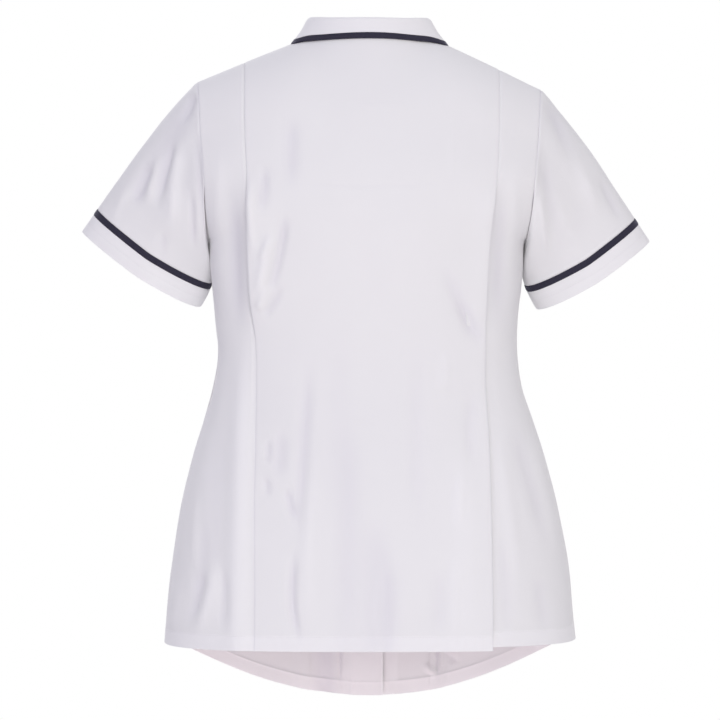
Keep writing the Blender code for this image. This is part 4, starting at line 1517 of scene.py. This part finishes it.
button = {
    "count": 6,
    "first": -0.098,
    "spacing": 0.094,
    "lift": 0.0006,
    "hole": 0.0010,
    "holeOffset": 0.0017,
    "sides": 48,
    "holeSides": 14,
    "thread": 0.00032,
    "strandGap": 0.00042,
    "buttonhole": 0.0105,       # half the length of the buttonhole
    "buttonholeWide": 0.0013,   # and half its width
    "barHalfLength": 0.0019,
    "barRadius": 0.00065,
    "plasticTurn": 35,          # degrees up to which it is shaded smooth
    "sewnTurn": 60,
}
# millimetres from the middle, and the heights of the top and the underside there
buttonProfile = (
    (0.0, 1.65, 0.0),
    (3.4, 1.65, 0.0),
    (5.2, 1.70, 0.0),
    (6.1, 1.78, 0.0),
    (6.6, 2.05, 0.0),
    (7.1, 2.50, 0.0),
    (7.7, 2.76, 0.05),
    (8.2, 2.72, 0.25),
    (8.6, 2.45, 0.50),
    (8.9, 2.00, 0.80),
    (9.0, 1.40, 1.10),
)


def addRing(flat, edges, centre, radius, count):
    start, (x, y) = len(flat), centre
    flat.extend((x + radius * math.cos(t), y + radius * math.sin(t)) for t in turns(count))
    edges.extend((start + k, start + (k + 1) % count) for k in range(count))


def buttonShape():
    # the button's flat outline with its four holes, then a top, an underside and walls
    radii, tops, lows = (np.array(values) / 1000 for values in zip(*buttonProfile))
    flat, edges = [(0.0, 0.0)], []
    for radius in radii[1:]:
        addRing(flat, edges, (0, 0), radius, button["sides"])
    offset = button["holeOffset"]
    centres = [(sx * offset, sy * offset) for sx in (-1, 1) for sy in (-1, 1)]
    for centre in centres:
        addRing(flat, edges, centre, button["hole"], button["holeSides"])
    points, _, triangles, *_ = delaunay_2d_cdt([Vector(p) for p in flat], edges, [], 0, 1e-7)
    points = np.array([tuple(p) for p in points])
    kept = []
    for triangle in triangles:
        middle = points[list(triangle)].mean(axis=0)
        if all(np.hypot(*(middle - c)) >= button["hole"] * 0.97 for c in centres):
            kept.append(tuple(triangle))
    count = len(points)
    faces = kept + [tuple(k + count for k in triangle[::-1]) for triangle in kept]
    seen = {edge: True for a, b, c in kept for edge in ((a, b), (b, c), (c, a))}
    faces += [(b, a, a + count, b + count) for a, b in seen if (b, a) not in seen]
    away = np.hypot(points[:, 0], points[:, 1])
    heights = [np.interp(away, radii, values) for values in (tops, lows)]
    return np.vstack([np.column_stack([points, height]) for height in heights]), faces


def onFront(z):
    levels = np.linspace(0, body["lastLevel"] - 1, 400)
    heights = np.array([across("front", level, [2.5])[0, 2] for level in levels])
    level = float(np.interp(-z, -heights, levels))
    return surfaceFrame("front", level, 0.0, 1)


def placed(points, place, normal):
    # x to the wearer's left, y up the cloth, z out of it
    side = np.array([1.0, 0, 0])
    side = unit(side - normal * side.dot(normal))
    rise = np.cross(side, normal)
    rise = rise * np.sign(rise[2])
    return place + points[:, :1] * side + points[:, 1:2] * rise + points[:, 2:] * normal


def buttonholeParts():
    # a corded loop with a bar at each end
    reach, half = button["buttonhole"], button["barHalfLength"]
    turn = np.linspace(0, 2 * math.pi, 121)
    x = button["buttonholeWide"] * np.sign(np.cos(turn)) * np.abs(np.cos(turn)) ** 0.4
    y = reach * np.sin(turn)
    ripple = 0.00048 + 0.00006 * np.sin(turn * 60)
    parts = [tube(np.column_stack([x, y, np.full_like(x, 0.0001)]), ripple)]
    for end in (-reach, reach):
        path = np.linspace((-half, end, 0.0002), (half, end, 0.0002), 7)
        parts.append(tube(path, button["barRadius"]))
    return parts


def threadParts():
    # two bars of thread over the middle, down through the holes to the cloth
    offset, parts = button["holeOffset"], []
    x = np.array([-1, -1, -0.93, -0.6, 0, 0.6, 0.93, 1, 1]) * offset
    z = np.array([-0.0006, 0.0014, 0.0019, 0.00235, 0.0025, 0.00235, 0.0019, 0.0014, -0.0006])
    for sy in (-1, 1):
        for strand in (-1, 0, 1):
            y = sy * offset + strand * button["strandGap"]
            path = np.column_stack([x, np.full_like(x, y), z + 0.00008 * strand])
            parts.append(tube(path, button["thread"]))
    return parts


def buildButtons():
    solid, faces = buttonShape()
    threads, holes = [], []
    for number in range(button["count"]):
        tail = str(number + 1)
        place, normal = onFront(button["first"] - number * button["spacing"])
        lifted = place + normal * button["lift"]
        points = placed(solid, lifted, normal)
        made = meshFrom("button" + tail, points, faces, buttonPlastic, button["plasticTurn"])
        settle(made, "button_plastic", "button_" + tail)
        threads += [(placed(part, lifted, normal), cells) for part, cells in threadParts()]
        holes += [(placed(part, place, normal), cells) for part, cells in buttonholeParts()]
    for name, parts in (("buttonThreads", threads), ("buttonholes", holes)):
        settle(meshFrom(name, *joined(parts), whiteThread, button["sewnTurn"]), "white_cloth")


buildButtons()
print("buttons made")


# camera, lights and floor

studio = {
    "cameraDistance": 3.0,      # from the middle of the body
    "cameraX": 0.0108,
    "cameraZ": -0.39,
    "frameWidth": 0.864,        # what the frame shows at that distance
    "sensor": 36.0,
    "floorZ": -1.45,            # as far below the neck as the wearer's feet
    "floorRadius": 4.1,
    "behind": (1.0, 1.0, 1.0),
    "leftFill": (0.285, 0.262, 0.368),
    "rightFill": (0.262, 0.236, 0.230),
    "topFill": (0.605, 0.595, 0.695),
    # where these fills come in, along the direction that a ray takes
    "fillRuns": (
        ("X", "LINEAR", -0.8, 0.8), ("Z", "SMOOTHSTEP", 0.1, 0.9), ("Y", "SMOOTHSTEP", 0.3, -0.8)),
    "floorTint": (0.90, 0.87, 0.88),
}
# name, place, target, size, power and colour; the second is a reflector below the hem, for the
# inside, and the third is for views of the other side
areaLights = (
    ("key", (-0.35, 4.2, 0.95), (0, 0, -0.4), 2.2, 94.0, (1.0, 0.985, 0.97)),
    ("underLight", (0, 0.03, -1.25), (0, 0.03, 0), 0.34, 1.9, (1.0, 0.78, 0.80)),
    ("frontLight", (1.5, -3.6, 1.3), (0, 0, -0.4), 1.6, 27.0, (1.0, 1.0, 1.0)),
)


def buildCamera():
    data = bpy.data.cameras.new("camera")
    data.sensor_width = studio["sensor"]
    data.lens = studio["sensor"] * studio["cameraDistance"] / studio["frameWidth"]
    camera = linked("camera", data)
    camera.location = (studio["cameraX"], studio["cameraDistance"], studio["cameraZ"])
    camera.rotation_euler = (math.radians(90), 0, math.radians(180))
    bpy.context.scene.camera = camera


def areaLight(name, place, target, size, power, colour):
    data = bpy.data.lights.new(name, "AREA")
    data.shape = "SQUARE"
    data.size = size
    data.energy = power
    data.color = colour
    light = linked(name, data)
    light.location = place
    light.visible_camera = False
    aim = Vector(target) - Vector(place)
    light.rotation_euler = aim.to_track_quat("-Z", "Y").to_euler()


def buildWorld():
    # a white backdrop; its light is white behind the tunic, dimmer and faintly coloured
    # to the sides
    world = bpy.data.worlds.new("studio")
    bpy.context.scene.world = world
    world.use_nodes = True
    tree = world.node_tree
    direction = node(tree, "ShaderNodeTexCoord").outputs["Generated"]
    way = feed(tree, node(tree, "ShaderNodeSeparateXYZ"), Vector=direction).outputs
    toLeft, toTop, toBack = (
        spread(tree, way[axis], kind, From_Min=start, From_Max=end)
        for axis, kind, start, end in studio["fillRuns"])
    light = mixed(tree, studio["rightFill"], studio["leftFill"], toLeft)
    light = mixed(tree, light, studio["topFill"], toTop)
    light = mixed(tree, light, studio["behind"], toBack)
    around = feed(tree, tree.nodes["Background"], Color=light)
    backdrop = feed(tree, node(tree, "ShaderNodeBackground"), Color=studio["behind"])
    either = node(tree, "ShaderNodeMixShader")
    tree.links.new(node(tree, "ShaderNodeLightPath").outputs["Is Camera Ray"], either.inputs["Fac"])
    tree.links.new(around.outputs["Background"], either.inputs[1])
    tree.links.new(backdrop.outputs["Background"], either.inputs[2])
    tree.links.new(either.outputs["Shader"], tree.nodes["World Output"].inputs["Surface"])


def buildFloor():
    radius = studio["floorRadius"]
    points = [(radius * math.cos(t), radius * math.sin(t), studio["floorZ"]) for t in turns(180)]
    made, tree, shader = newMaterial("paleFloor", 0.9)
    feed(tree, shader, Base_Color=studio["floorTint"])
    floor = meshFrom("floor", points, [range(len(points))], made)


buildCamera()
buildWorld()
for light in areaLights:
    areaLight(*light)
buildFloor()
bpy.context.scene.view_settings.view_transform = "Standard"
print("studio made")
